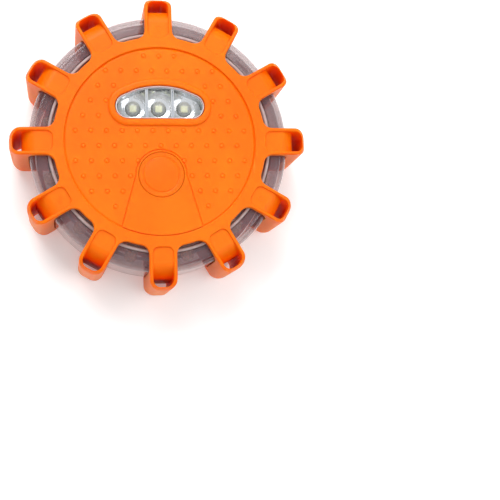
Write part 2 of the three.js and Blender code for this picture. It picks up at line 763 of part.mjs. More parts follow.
function shells() {
  const group = new THREE.Group();
  const button = piece('power_button', powerButton(), orangePlastic());
  button.position.y = BUTTON_Y;
  const topSeal = piece('seal_front', seal(), sealRubber());
  topSeal.position.z = LENS_HIGH_Z - SEAL_GROOVE.depth + GAP + SEAL_SECTION_R;
  const lowSeal = piece('seal_back', seal(), sealRubber());
  lowSeal.position.z = COVER_HIGH_Z + GAP + SEAL_SECTION_R;
  group.add(
    piece('front_shell', frontShell(), orangePlastic()),
    piece('clear_lens_ring', clearLensRing(), clearPlastic()),
    piece('clear_base_ring', clearBaseRing(), clearPlastic()),
    piece('back_cover', backCover(), orangePlastic()),
    button,
    topSeal,
    lowSeal,
  );
  return group;
}

function backFittings() {
  const group = new THREE.Group();
  const pin = piece('hook_pin', hookPin(), steel());
  pin.position.set(-(HOOK_PIN.lowX + HOOK_PIN.highX) / 2, HOOK.pinY, HOOK.pinZ);
  group.add(piece('hook', hook(), orangePlastic()), pin, piece('magnet', magnet(), steel()));
  ['left', 'right'].forEach((side, i) => {
    const fastener = piece(`case_screw_${side}`, screw(CASE_SCREW), zinc());
    fastener.position.x = i === 0 ? -CASE_SCREW_X : CASE_SCREW_X;
    group.add(fastener);
  });
  return group;
}

function lampWindow() {
  const group = new THREE.Group();
  const lens = plate(windowOutline(-GAP), WINDOW_LENS.lowZ, WINDOW_LENS.highZ);
  group.add(piece('window_lens', lens, clearPlastic()), piece('reflector', reflector(), chrome()));
  [-1, 0, 1].forEach((place, i) => {
    const lamp = piece(`white_led_${i + 1}`, led(WHITE_LED_Z - BOARD.highZ - GAP, 0), whiteLamp());
    lamp.position.set(place * WHITE_LED_PITCH, WHITE_LED_Y, WHITE_LED_Z);
    group.add(lamp);
  });
  return group;
}

// One amber lamp in each gap between two prongs, pointing outwards.
function amberLamps() {
  const group = new THREE.Group();
  const legRise = BOARD.lowZ - AMBER_LED_Z - GAP;
  for (let i = 0; i < PRONG_COUNT; i += 1) {
    const spoke = new THREE.Group();
    const lamp = piece(`amber_led_${i + 1}`, led(AMBER_LEG_LENGTH, legRise), amberLamp());
    lamp.rotation.set(Math.PI / 2, Math.PI / 2, 0);
    lamp.position.set(AMBER_LED_R, 0, AMBER_LED_Z);
    spoke.rotation.z = radians((i + 0.5) * PRONG_STEP);
    spoke.add(lamp);
    group.add(spoke);
  }
  return group;
}

function electronics() {
  const group = new THREE.Group();
  const body = piece('switch_body', switchBody(), blackPlastic());
  body.position.set(0, BUTTON_Y, BOARD.highZ + GAP);
  const plungerRod = rod(SWITCH.plungerR, PLUNGER.lowZ, PLUNGER.highZ);
  const plunger = piece('switch_plunger', plungerRod, blackPlastic());
  plunger.position.y = BUTTON_Y;
  const chipBody = new THREE.BoxGeometry(CHIP.width, CHIP.depth, CHIP.height);
  const chip = piece('controller_chip', chipBody, blackPlastic());
  chip.position.set(CHIP.x, CHIP.y, BOARD.highZ + GAP + CHIP.height / 2);
  group.add(piece('circuit_board', circuitBoard(), boardGreen()), body, plunger, chip);
  BOARD_SCREWS.forEach(([x, y], i) => {
    const fastener = piece(`board_screw_${i + 1}`, screw(BOARD_SCREW), zinc());
    fastener.position.set(x, y, 0);
    group.add(fastener);
  });
  return group;
}

// Three cells in series: neighbours face opposite ways and link plates join them at the ends.
function batteries() {
  const group = new THREE.Group();
  group.add(piece('battery_tray', batteryTray(), blackPlastic()));
  [-1, 0, 1].forEach((place, i) => {
    const facing = place === 0 ? -1 : 1;
    const cell = piece(`battery_cell_${i + 1}`, batteryCell(), cellJacket());
    cell.position.set(place * CELL.pitch, facing * CELL.endY, CELL.z);
    cell.rotation.z = facing > 0 ? 0 : Math.PI;
    const spring = piece(`contact_spring_${i + 1}`, contactSpring(), zinc());
    spring.position.set(place * CELL.pitch, -facing * (CONTACT.y - GAP - SPRING.wireR), CELL.z);
    spring.rotation.z = facing > 0 ? 0 : Math.PI;
    group.add(cell, spring);
  });
  const linkX = CELL.pitch / 2;
  const linkWidth = CELL.pitch + CONTACT.side;
  const plates = [
    ['contact_positive', -CELL.pitch, 1, CONTACT.side],
    ['contact_link_front', linkX, 1, linkWidth],
    ['contact_link_rear', -linkX, -1, linkWidth],
    ['contact_negative', CELL.pitch, -1, CONTACT.side],
  ];
  for (const [name, x, end, width] of plates) {
    const contact = piece(name, contactPlate(width), brass());
    contact.position.set(x, end * (CONTACT.y + CONTACT.thickness / 2), CELL.z);
    group.add(contact);
  }
  return group;
}

const flare = new THREE.Group();
flare.add(shells(), backFittings(), lampWindow(), amberLamps(), electronics(), batteries());

export default flare;
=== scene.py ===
"""LED safety flare: the looks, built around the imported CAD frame.

Shapes are drawn in millimetres in the frame's own axes and scaled to metres when they become
Blender objects. +Z is out of the lamp face, and the flare lies on its back.
"""

import math

import bmesh
import bpy
from mathutils import Matrix, Vector


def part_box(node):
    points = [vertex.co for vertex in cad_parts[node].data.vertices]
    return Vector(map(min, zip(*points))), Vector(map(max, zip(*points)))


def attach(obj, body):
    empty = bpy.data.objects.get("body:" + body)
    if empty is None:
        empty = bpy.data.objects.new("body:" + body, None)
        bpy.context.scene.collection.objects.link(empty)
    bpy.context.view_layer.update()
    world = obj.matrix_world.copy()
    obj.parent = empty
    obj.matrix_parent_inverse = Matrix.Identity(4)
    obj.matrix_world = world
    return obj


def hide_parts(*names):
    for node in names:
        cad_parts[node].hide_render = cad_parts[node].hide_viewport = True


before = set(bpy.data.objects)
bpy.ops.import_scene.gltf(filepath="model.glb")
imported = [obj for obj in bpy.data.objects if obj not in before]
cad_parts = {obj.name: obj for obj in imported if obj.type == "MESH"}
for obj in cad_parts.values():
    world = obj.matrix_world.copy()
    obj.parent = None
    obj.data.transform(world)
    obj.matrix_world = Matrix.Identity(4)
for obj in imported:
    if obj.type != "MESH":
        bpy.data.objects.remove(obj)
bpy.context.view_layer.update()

MM = 0.001
SHARP_ANGLE = 50  # degrees: softer edges than this are shaded smooth

# ---- Driving dimensions in millimetres: those of the CAD source, and finer ones ----

GAP = 0.3
JOIN = 0.4  # how far joined forms run into each other
FACE_Z = 34.5
PANEL_Z = 34.0
PANEL_GROOVE = 0.36
BUTTON_PANEL_Z = 34.35
LIP_Z = 35.0
PLATE_UNDER_Z = 32.2
DISC_R = 38.5
PANEL_R = 34.6
SPIGOT_R = 36.1
SPIGOT_WALL = 1.5

PRONG_COUNT = 12
PRONG_STEP = 360 / PRONG_COUNT
TIP_R = 54.0
HALF_WIDTH = 5.0
WALL = 1.3
FILLET_R = 3.5
CORNER_R = 4.0
RIM_WIDTH = 5.5
RIM_HEIGHT = 6.5
STRAP_SINK = 0.7
STRAP_BEND_R = 44.0
STRAP_OUTER_R = 49.6
STRAP_BEND_DEPTH = 7.3
CASE_EDGE = 0.5
POCKET_FLARE = 0.35
POCKET_INNER_CORNER_R = 2.2

LENS_R = 47.2
LENS_LOW_Z = 2.9
LENS_HIGH_Z = 31.9
LENS_WALL = 2.0
LENS_INNER_R = 36.4
FLANGE = 2.0
CORNER_WIDTH = 3.2
CORNER_HEIGHT = 4.6
LUG_TURN = 45
LUG_LENGTH = 6.8
LUG_OUTER_R = 48.7
LUG_LOW_Z = 8.0
LUG_HIGH_Z = 13.0

SEAL_R = 40.0
SEAL_SECTION_R = 0.6
GROOVE_HALF_WIDTH = 1.0
GROOVE_DEPTH = 1.5

COVER_R = 45.0
COVER_RIM_INNER_R = 43.0
COVER_RIM_LOW_Z = 0.8
COVER_HIGH_Z = 2.6
COVER_TAB_HALF_WIDTH = 4.9
COVER_GROOVE_R = 34.5

MAGNET_R = 10.0
MAGNET_HEIGHT = 3.5
MAGNET_BOSS_R = 12.6
MAGNET_BOSS_HIGH_Z = 5.3

CASE_SCREW_X = 27.0
CASE_POST_R = 3.4
COVER_BOSS_R = 5.7
COVER_BOSS_HIGH_Z = 4.4
CASE_SCREW_BORE_R = 4.4
CASE_SHANK_BORE_R = 1.7
CASE_SHANK_BORE_Z = 16.0
HEAD_SEAT_Z = 2.6

HOOK_THICKNESS = 2.8
HOOK_MID_R = 17.2
HOOK_HALF_WIDTH = 3.05
HOOK_CENTRE_X = -0.5
HOOK_UPPER_Y = 5.0
HOOK_LOWER_Y = -6.0
HOOK_TIP_ANGLE = -2.3
HOOK_TIP_DEPTH = 2.0
NECK_LEFT_X = -1.7
NECK_RIGHT_X = 5.3
NECK_CORNER_R = 2.5
PIN_Y = -31.2
PIN_Z = 1.6
PIN_R = 0.8
PIN_LOW_X = -4.9
PIN_HIGH_X = 8.5
KNUCKLE_R = 1.6
CHANNEL_DEPTH = 0.8
CHANNEL_INSET = 1.65
CHANNEL_END_Y = -26.4
RECESS_CLEARANCE = 0.4
RECESS_FLOOR_Z = 3.1
RECESS_WALL = 1.5
RECESS_HIGH_Z = 4.7
KNUCKLE_FLOOR_Z = 3.6
SCOOP_X = -1.7
SCOOP_LOW_Y = 24.6
SCOOP_HALF_WIDTH = 4.15
SCOOP_HEIGHT = 5.1
SCOOP_DEPTH = 1.6

WINDOW_Y = 14.1
WINDOW_END_X = 11.5
WINDOW_END_Y = -1.3
WINDOW_END_R = 4.8
WINDOW_ARCH_Y = -24.3
WINDOW_ARCH_R = 30.7
WINDOW_LIP = 2.4
LIP_EDGE = (1.1, 0.85)
SOCKET_WALL = 1.4
SOCKET_LOW_Z = 27.0
WINDOW_LENS_LOW_Z = 33.2
WINDOW_LENS_HIGH_Z = 34.4
REFLECTOR_LOW_Z = 26.2
REFLECTOR_HIGH_Z = 32.9
BOWL_R = 7.4
BOWL_LOW_Z = 27.2
BAR_WIDTH = 1.0
SLOT_WIDTH = 0.5
SLOT_DEPTH = 5.2
CUP_BOTTOM_R = 2.85

WHITE_LED_PITCH = 9.4
WHITE_LED_Y = 13.2
WHITE_LED_Z = 23.4
AMBER_LED_R = 35.0
AMBER_LED_Z = 15.8
AMBER_LEG_LENGTH = 2.0
BOARD_LOW_Z = 19.0
LAMP_R = 2.5
LAMP_DOME_Z = 6.1
LEG_HALF = 0.25
LEG_X = 1.27
CHIP_HALF = 1.25
CHIP_LOW_Z = 4.55
CHIP_HIGH_Z = 4.95

SPRING_WIRE_R = 0.35
SPRING_WIDE_R = 3.4
SPRING_NARROW_R = 1.9
SPRING_TURNS = 2.5
CELL_Z = 11.6

BUTTON_Y = -12.3
BUTTON_R = 8.0
BUTTON_CAP_R = 8.18
BUTTON_CROWN_R = 6.3
BUTTON_PANEL_R = 9.0
BUTTON_PANEL_FOOT = 24.8
BUTTON_STEM_LOW_Z = 25.1

BOARD_HIGH_Z = 20.6
BOARD_SCREWS = ((23, 16), (-23, -16))
BOARD_POST_R = 2.6
BOARD_BORE_R = 1.3
BOARD_BORE_Z = 27.0

# Each kind of screw: head radius, head's low and high Z, thread radius, tip Z
CASE_SCREW = (3.7, 0.4, 2.3, 1.4, 15.0)
BOARD_SCREW = (2.0, 17.2, 18.7, 1.0, 26.0)
THREAD_PITCH = 0.9
THREAD_TIP = 1.5

DOT_R = 0.62
DOT_HEIGHT = 0.2
DOT_DEPTH = 0.22
DOT_MARGIN = 0.4
DOT_FIRST_Y = -1.75
DOT_PITCH = 5.55
DOT_ROW = 5.52
DOT_ROWS = 6
DOT_COLUMNS = 7
DOT_LIMIT_R = 32.5

# The stage, in metres and degrees, and the lens in millimetres
FLOOR_HALF = 1.6
FLOOR_Z = -0.0002
LIGHT_SIZE = 0.9
CAMERA_EYE = (-0.0348, -0.0815, 0.42354)
CAMERA_AIM = (0.0343, -0.0382, 0.017)
CAMERA_ROLL = -1.781
CAMERA_LENS = 79.0


# ---- Outlines ----

def oval(x, y, wide, tall, start, end, steps):
    """Points on part of an ellipse, both ends included, angles in degrees."""
    points = []
    for i in range(steps + 1):
        angle = math.radians(start + (end - start) * i / steps)
        points.append((x + wide * math.cos(angle), y + tall * math.sin(angle)))
    return points


def arc(x, y, radius, start, end, steps):
    return oval(x, y, radius, radius, start, end, steps)


def turned(points, degrees):
    c, s = math.cos(math.radians(degrees)), math.sin(math.radians(degrees))
    return [(x * c - y * s, x * s + y * c) for x, y in points]


def moved(points, dx, dy):
    return [(x + dx, y + dy) for x, y in points]


def pronged_disc(half_width, tip_r, corner_r, fillet_r, grow):
    """A disc with prongs all round, grown by an offset: root fillet, side, rounded tip and back."""
    disc_r = DISC_R + grow
    half_width += grow
    tip_r += grow
    corner_r += grow
    fillet_r -= grow
    across = half_width + fillet_r
    fillet_x = math.sqrt((disc_r + fillet_r) ** 2 - across**2)
    root = math.degrees(math.atan2(across, fillet_x))
    corner_x = tip_r - corner_r
    prong = [
        *arc(fillet_x, -across, fillet_r, 180 - root, 90, 8),
        *arc(corner_x, corner_r - half_width, corner_r, -90, 0, 8),
        *arc(corner_x, half_width - corner_r, corner_r, 0, 90, 8),
        *arc(fillet_x, across, fillet_r, -90, root - 180, 8),
        *arc(0, 0, disc_r, root, PRONG_STEP - root, 3)[1:-1],
    ]
    return [p for i in range(PRONG_COUNT) for p in turned(prong, i * PRONG_STEP)]


def case_outline(grow=0.0):
    return pronged_disc(HALF_WIDTH, TIP_R, CORNER_R, FILLET_R, grow)


def tab_outline(grow=0.0):
    return pronged_disc(COVER_TAB_HALF_WIDTH, COVER_R + 2, 0.8, 2.5, grow)


def button_panel_outline(grow=0.0):
    """The keyhole panel: round above the button, with straight sides down to the face's edge."""
    foot_low, foot_high = 270 - BUTTON_PANEL_FOOT, 270 + BUTTON_PANEL_FOOT
    return [
        *arc(0, BUTTON_Y, BUTTON_PANEL_R + grow, 0, 180, 40),
        *arc(0, 0, PANEL_R - 0.4, foot_low - grow * 1.7, foot_high + grow * 1.7, 24),
    ]


def panel_border(grow):
    """The groove round the keyhole panel."""
    return button_panel_outline(grow + 0.3)


def pocket_outline(offset=0.0):
    half = HALF_WIDTH - WALL + offset
    outer = TIP_R - WALL + offset
    inner_corner = POCKET_INNER_CORNER_R + offset
    outer_corner = CORNER_R - WALL + offset
    inner_x = DISC_R + POCKET_INNER_CORNER_R
    outer_x = outer - outer_corner
    return [
        *arc(inner_x, inner_corner - half, inner_corner, 180, 270, 8),
        *arc(outer_x, outer_corner - half, outer_corner, -90, 0, 8),
        *arc(outer_x, half - outer_corner, outer_corner, 0, 90, 8),
        *arc(inner_x, half - inner_corner, inner_corner, 90, 180, 8),
    ]


def window_outline(offset, steps=16):
    """Straight foot, round ends and a shallow arch, grown by an offset."""
    outline = [
        *arc(WINDOW_END_X, WINDOW_END_Y, WINDOW_END_R + offset, -90, 62, steps),
        *arc(0, WINDOW_ARCH_Y, WINDOW_ARCH_R + offset, 73.9, 106.1, steps),
        *arc(-WINDOW_END_X, WINDOW_END_Y, WINDOW_END_R + offset, 118, 270, steps),
    ]
    return moved(outline, 0, WINDOW_Y)


def pane_outline(grow):
    """The window pane's outline, a gap inside the window."""
    return window_outline(grow - GAP, 24)


def lip_outline(grow):
    return window_outline(WINDOW_LIP + grow)


def hook_outline(offset, neck_end_y, steps=3):
    """The hook seen from behind, from its tip over the top and down to the neck, mirrored in X."""
    half = HOOK_HALF_WIDTH + offset
    outer_r, inner_r = HOOK_MID_R + half, HOOK_MID_R - half
    left_x, right_x = NECK_LEFT_X - offset, NECK_RIGHT_X + offset
    neck_angle = 180 + math.degrees(math.acos((HOOK_CENTRE_X - left_x) / outer_r))
    tip_x, tip_y = arc(HOOK_CENTRE_X, HOOK_UPPER_Y, HOOK_MID_R, HOOK_TIP_ANGLE, HOOK_TIP_ANGLE, 1)[0]
    depth = HOOK_TIP_DEPTH + offset
    tip = oval(tip_x, tip_y, half, depth, 180, 360, 6 * steps)
    corner_x = NECK_RIGHT_X - NECK_CORNER_R
    corner_y = HOOK_LOWER_Y - HOOK_MID_R + HOOK_HALF_WIDTH - NECK_CORNER_R
    outline = [
        *tip,
        *arc(HOOK_CENTRE_X, HOOK_UPPER_Y, outer_r, 0, 180, 16 * steps)[1:],
        *arc(HOOK_CENTRE_X, HOOK_LOWER_Y, outer_r, 180, neck_angle, 7 * steps),
        (left_x, neck_end_y),
        (right_x, neck_end_y),
        *arc(corner_x, corner_y, NECK_CORNER_R + offset, 0, 90, 3 * steps),
        *arc(HOOK_CENTRE_X, HOOK_LOWER_Y, inner_r, 270, 180, 6 * steps),
        *arc(HOOK_CENTRE_X, HOOK_UPPER_Y, inner_r, 180, 0, 14 * steps)[:-1],
    ]
    return [(-x, y) for x, y in outline]


def hook_plan(grow):
    return hook_outline(grow, PIN_Y)


def channel_outline(grow):
    """The trough along the hook's outer face."""
    return hook_outline(grow - CHANNEL_INSET, CHANNEL_END_Y - grow)


def recess_outline(grow):
    """The room for the folded hook in the back cover."""
    return hook_outline(RECESS_CLEARANCE + grow, PIN_Y - KNUCKLE_R - RECESS_CLEARANCE - grow)


def ring_side(offset=0.0, steps=10, start=0.0):
    """The clear ring's rounded outer side from its lower edge to its upper edge."""
    centre_r = LENS_R - CORNER_WIDTH
    low, high = LENS_LOW_Z + CORNER_HEIGHT, LENS_HIGH_Z - CORNER_HEIGHT
    return [
        *oval(centre_r + offset, low - offset, CORNER_WIDTH, -CORNER_HEIGHT, 90 - start, 0, steps),
        *oval(centre_r + offset, high + offset, CORNER_WIDTH, CORNER_HEIGHT, 0, 90, steps),
    ]


# ---- Mesh building, in millimetres ----

def linked(obj):
    bpy.context.scene.collection.objects.link(obj)
    return obj


def new_object(name, vertices, faces):
    mesh = bpy.data.meshes.new(name)
    mesh.from_pydata([Vector(v) for v in vertices], [], faces)
    mesh.update()
    outward(mesh)
    return linked(bpy.data.objects.new(name, mesh))


def outward(mesh):
    """Joins points in one place, and turns all faces outwards."""
    bm = bmesh.new()
    bm.from_mesh(mesh)
    bmesh.ops.remove_doubles(bm, verts=bm.verts, dist=1e-5)
    bmesh.ops.recalc_face_normals(bm, faces=bm.faces)
    bm.to_mesh(mesh)
    bm.free()


def lathe(name, section, steps=180):
    """A turned solid about Z. The section's (radius, z) pairs run from the axis back to it, or close."""
    count = len(section)
    vertices, faces = [], []
    for i in range(steps):
        angle = 2 * math.pi * i / steps
        vertices += [(r * math.cos(angle), r * math.sin(angle), z) for r, z in section]
    for i in range(steps):
        here, there = i * count, (i + 1) % steps * count
        for j in range(count if section[0][0] > 0 else count - 1):
            k = (j + 1) % count
            faces.append([here + j, here + k, there + k, there + j])
    return new_object(name, vertices, faces)


def prism(name, outline, low, high):
    """A plate of the given outline between two heights."""
    return loft(name, [[(x, y, z) for x, y in outline] for z in (low, high)])


def slab(name, section, width):
    """A radial section of (x, z) pairs extruded along Y and centred on y = 0."""
    return loft(name, [[(x, y, z) for x, z in section] for y in (-width / 2, width / 2)])


def loft(name, rings):
    """A closed skin over rings of equally many points, capped at both ends."""
    count = len(rings[0])
    vertices = [p for ring in rings for p in ring]
    last = (len(rings) - 1) * count
    faces = [list(range(count))[::-1], [last + i for i in range(count)]]
    for k in range(len(rings) - 1):
        for i in range(count):
            j = (i + 1) % count
            faces.append([k * count + i, k * count + j, (k + 1) * count + j, (k + 1) * count + i])
    return new_object(name, vertices, faces)


def edge_rings(outline, width, height, level, up, steps=5, last=90):
    """Rings of a rounded edge, from the wall to the face that it meets.

    A positive width rounds a solid's own edge; a negative one flares a cutter's mouth. level gives
    the face's height at a point, and up is 1 for a face that looks up and -1 for one that looks down.
    """
    rings = []
    for k in range(steps + 1):
        angle = math.radians(last * k / steps)
        points = outline(-width * (1 - math.cos(angle)))
        drop = height * (1 - math.sin(angle))
        rings.append([(x, y, level(x, y) - up * drop) for x, y in points])
    return rings


def flat(z):
    return lambda x, y: z


def beyond(ring, z):
    """A ring carried on straight to another height."""
    return [(x, y, z) for x, y, _ in ring]


def soft_prism(name, outline, low, high, low_edge=None, high_edge=None):
    """A plate whose lower and upper edges are rounded by (width, height), or square."""
    bottom = [[(x, y, low) for x, y in outline(0)]]
    top = [[(x, y, high) for x, y in outline(0)]]
    if low_edge:
        bottom = edge_rings(outline, *low_edge, flat(low), -1)[::-1]
    if high_edge:
        top = edge_rings(outline, *high_edge, flat(high), 1)
    return loft(name, bottom + top)


def mouth_cutter(name, outline, bottom, mouth, flare):
    """A cutter from a flat bottom to a mouth, which it leaves with a rounded edge."""
    up = 1 if mouth > bottom else -1
    rings = edge_rings(outline, -flare, flare, flat(mouth), up)
    floor = [(x, y, bottom) for x, y in outline(0)]
    return loft(name, [floor, *rings, beyond(rings[-1], mouth + up)])


def circle(x, y, radius, steps=72):
    """The outline of a round hole or post, as a function of its offset."""
    return lambda grow: arc(x, y, radius + grow, 0, 360 - 360 / steps, steps - 1)


def face_level(x, y):
    """The height of the face and the prongs' rounded rims."""
    out = min(1.0, max(0.0, (math.hypot(x, y) - TIP_R + RIM_WIDTH) / RIM_WIDTH))
    return FACE_Z - RIM_HEIGHT * (1 - math.sqrt(1 - out * out))


def back_level(x, y):
    return FACE_Z - face_level(x, y)


def shift(x, y, z=0.0):
    return Matrix.Translation((x, y, z))


def turn(degrees, axis="Z"):
    return Matrix.Rotation(math.radians(degrees), 4, axis)


def rod(name, radius, low, high, steps=48, x=0.0, y=0.0):
    return place(lathe(name, [(0, low), (radius, low), (radius, high), (0, high)], steps), shift(x, y))


def tube(name, inner, outer, low, high, steps=180):
    return lathe(name, [(inner, low), (outer, low), (outer, high), (inner, high)], steps)


def box(name, low, high):
    corners = [(low[0], low[1]), (high[0], low[1]), (high[0], high[1]), (low[0], high[1])]
    return prism(name, corners, low[2], high[2])


def place(obj, matrix):
    obj.data.transform(matrix)
    obj.data.update()
    return obj


def copies(seed, name, matrices):
    """One object with a copy of the seed at every place. The seed goes."""
    twins = [place(linked(bpy.data.objects.new(name, seed.data.copy())), matrix) for matrix in matrices]
    bpy.data.objects.remove(seed)
    return merged(name, twins)


def merged(name, objects):
    """Several objects' meshes in one object."""
    bm = bmesh.new()
    for obj in objects:
        bm.from_mesh(obj.data)
        bpy.data.objects.remove(obj)
    mesh = bpy.data.meshes.new(name)
    bm.to_mesh(mesh)
    bm.free()
    return linked(bpy.data.objects.new(name, mesh))


def applied(obj):
    """Bakes an object's modifiers into its mesh."""
    graph = bpy.context.evaluated_depsgraph_get()
    mesh = bpy.data.meshes.new_from_object(obj.evaluated_get(graph))
    obj.modifiers.clear()
    obj.data = mesh
    return obj


def boolean(target, operation, *tools):
    for tool in tools:
        modifier = target.modifiers.new("boolean", "BOOLEAN")
        modifier.object = tool
        modifier.operation = operation
        modifier.solver = "MANIFOLD"
        applied(target)
        bpy.data.objects.remove(tool)
    return target


def cut(target, *tools):
    return boolean(target, "DIFFERENCE", *tools)


def add(target, *tools):
    return boolean(target, "UNION", *tools)


def common(target, *tools):
    return boolean(target, "INTERSECT", *tools)


def smooth(obj, weighted):
    """Soft shading. The weighted kind keeps flat faces flat and blends only the rounded edges."""
    bm = bmesh.new()
    bm.from_mesh(obj.data)
    bmesh.ops.triangulate(bm, faces=[f for f in bm.faces if len(f.verts) > 4])
    for face in bm.faces:
        face.smooth = True
    for edge in bm.edges:
        edge.smooth = not edge.is_manifold or edge.calc_face_angle() < math.radians(SHARP_ANGLE)
    bm.to_mesh(obj.data)
    bm.free()
    if weighted:
        modifier = obj.modifiers.new("normals", "WEIGHTED_NORMAL")
        modifier.keep_sharp = True
        modifier.weight = 60
        applied(obj)


def finished(obj, name, body, slot_name, look, *nodes, weighted=True):
    """Shades a shape, scales it to metres, paints it and ties it to the frame."""
    smooth(obj, weighted)
    obj.name = name
    obj.data.name = name
    obj.data.transform(Matrix.Scale(MM, 4))
    obj.data.materials.clear()
    obj.data.materials.append(MATERIALS[look])
    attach(obj, body)
    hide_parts(*nodes)


# ---- Materials ----

class Painter:
    """A node tree, with short calls for the nodes that the surfaces share."""

    def __init__(self, owner, shader, coordinates):
        owner.use_nodes = True
        self.owner = owner
        self.nodes = owner.node_tree.nodes
        self.links = owner.node_tree.links
        self.shader = self.nodes[shader]
        self.place = self.nodes.new("ShaderNodeTexCoord").outputs[coordinates]

    def feed(self, inputs, values):
        """Links or sets inputs by name. A space in an input's name is written as an underscore."""
        for name, value in values.items():
            self.fill(inputs[name.replace("_", " ")], value)

    def fill(self, socket, value):
        if isinstance(value, bpy.types.NodeSocket):
            self.links.new(value, socket)
        else:
            socket.default_value = value

    def set(self, **values):
        self.feed(self.shader.inputs, values)

    def node(self, kind, output, **values):
        node = self.nodes.new("ShaderNode" + kind)
        self.feed(node.inputs, values)
        return node.outputs[output]

    def noise(self, scale, detail=3.0, roughness=0.55, stretch=None):
        place = self.stretched(stretch)
        return self.node("TexNoise", "Fac", Scale=scale, Detail=detail, Roughness=roughness, Vector=place)

    def cells(self, scale, stretch=None):
        return self.node("TexVoronoi", "Distance", Scale=scale, Vector=self.stretched(stretch))

    def stretched(self, stretch):
        return self.node("Mapping", "Vector", Scale=stretch, Vector=self.place) if stretch else self.place

    def remap(self, value, low, high, to_low=0.0, to_high=1.0):
        limits = {"From_Min": low, "From_Max": high, "To_Min": to_low, "To_Max": to_high}
        return self.node("MapRange", "Result", Value=value, **limits)

    def math(self, operation, a, b):
        node = self.nodes.new("ShaderNodeMath")
        node.operation = operation
        self.fill(node.inputs[0], a)
        self.fill(node.inputs[1], b)
        return node.outputs["Value"]

    def mix(self, factor, first, second):
        node = self.nodes.new("ShaderNodeMix")
        node.data_type = "RGBA"
        self.links.new(factor, node.inputs["Factor"])
        for name, value in (("A", first), ("B", second)):
            self.fill(next(s for s in node.inputs if s.name == name and s.type == "RGBA"), value)
        return next(s for s in node.outputs if s.type == "RGBA")

    def axis(self, letter):
        """One coordinate of each point. A material's are the frame's own, in metres."""
        return self.node("SeparateXYZ", letter, Vector=self.place)

    def facing(self):
        """0 where the surface faces the viewer, 1 where it is seen edge-on."""
        return self.node("LayerWeight", "Facing", Blend=0.5)

    def bump(self, value, distance, strength=1.0, under=None):
        normal = {"Normal": under} if under else {}
        return self.node("Bump", "Normal", Distance=distance, Strength=strength, Height=value, **normal)


def surface(name):
    return Painter(bpy.data.materials.new(name), "Principled BSDF", "Object")


def srgb(red, green, blue):
    """A colour given as 0-255 screen values, as linear numbers."""
    def linear(value):
        value /= 255
        return value / 12.92 if value <= 0.04045 else ((value + 0.055) / 1.055) ** 2.4
    return (linear(red), linear(green), linear(blue), 1.0)


def orange_plastic(name, base, deep, pale, gloss=0.42):
    """Moulded plastic: fine grain, faint flow marks, small scuffs and a slight uneven gloss."""
    paint = surface(name)
    flow = paint.noise(38, 4, 0.6, (1.0, 1.0, 0.6))
    speck = paint.noise(900, 2, 0.5)
    body = paint.mix(paint.remap(flow, 0.35, 0.68), srgb(*deep), srgb(*base))
    scuffs = paint.noise(260, 5, 0.7, (1.0, 0.16, 1.0))
    scuffed = paint.remap(scuffs, 0.66, 0.74, 0, 0.5)
    colour = paint.mix(scuffed, body, srgb(*pale))
    gloss_map = paint.math("ADD", paint.remap(flow, 0.3, 0.7, gloss - 0.05, gloss + 0.06),
                           paint.remap(speck, 0.3, 0.7, -0.03, 0.03))
    grain = paint.bump(paint.noise(2600, 2, 0.6), 0.00003, 0.5)
    sink = paint.bump(paint.noise(70, 2, 0.4), 0.00025, 0.35, grain)
    paint.set(Base_Color=colour, Roughness=gloss_map, Normal=sink)
    paint.set(Specular_IOR_Level=0.16, Subsurface_Weight=0.45, Subsurface_Scale=0.006)
    paint.set(Subsurface_Radius=(1.0, 0.15, 0.04))
    return paint.owner


def clear_plastic(name, tint, alpha, cloud=0.12, edge_alpha=None):
    """Clear moulded plastic: faint flow waves and dust haze, and denser where it is seen edge-on."""
    paint = surface(name)
    waves = paint.noise(90, 3, 0.5, (1.0, 1.0, 2.5))
    dust = paint.noise(700, 3, 0.6)
    pale = (*(min(1, c * 1.25) for c in tint[:3]), 1.0)
    haze = paint.mix(paint.remap(waves, 0.35, 0.7), tint, pale)
    gloss = paint.remap(dust, 0.4, 0.75, 0.04, 0.04 + cloud)
    ripple = paint.bump(waves, 0.0003, 0.3)
    paint.set(Base_Color=haze, Roughness=gloss, Normal=ripple)
    paint.set(Alpha=alpha, IOR=1.49, Specular_IOR_Level=0.6, Coat_Weight=0.6, Coat_Roughness=0.04)
    if edge_alpha:
        paint.set(Alpha=paint.remap(paint.facing(), 0.45, 0.95, alpha, edge_alpha))
    return paint.owner


def bright_metal(name, base, dark, gloss, scratch):
    """Plated or nickelled metal: fine scratches, stains and an uneven gloss."""
    paint = surface(name)
    stain = paint.noise(150, 5, 0.65)
    scratches = paint.noise(420, 4, 0.7, (1.0, 0.06, 1.0))
    crossed = paint.noise(420, 4, 0.7, (0.08, 1.0, 1.0))
    along, across = paint.remap(scratches, 0.62, 0.72), paint.remap(crossed, 0.64, 0.74)
    marks = paint.math("MAXIMUM", along, across)
    colour = paint.mix(paint.remap(stain, 0.35, 0.68), base, dark)
    worn = paint.math("MULTIPLY", marks, scratch)
    rough = paint.math("ADD", paint.remap(stain, 0.3, 0.7, gloss, gloss + 0.1), worn)
    paint.set(Base_Color=colour, Roughness=rough, Normal=paint.bump(marks, 0.00002, 0.4))
    paint.set(Metallic=1.0)
    return paint.owner


def dull_solid(name, base, dark, rough, scale=300):
    """A plain moulded or printed surface with mottling and a fine grain."""
    paint = surface(name)
    mottle = paint.noise(scale, 4, 0.6)
    colour = paint.mix(paint.remap(mottle, 0.35, 0.66), base, dark)
    paint.set(
        Base_Color=colour,
        Roughness=paint.remap(mottle, 0.3, 0.7, rough - 0.06, rough + 0.08),
        Normal=paint.bump(paint.noise(scale * 6, 2, 0.5), 0.00003, 0.5),
    )
    return paint.owner


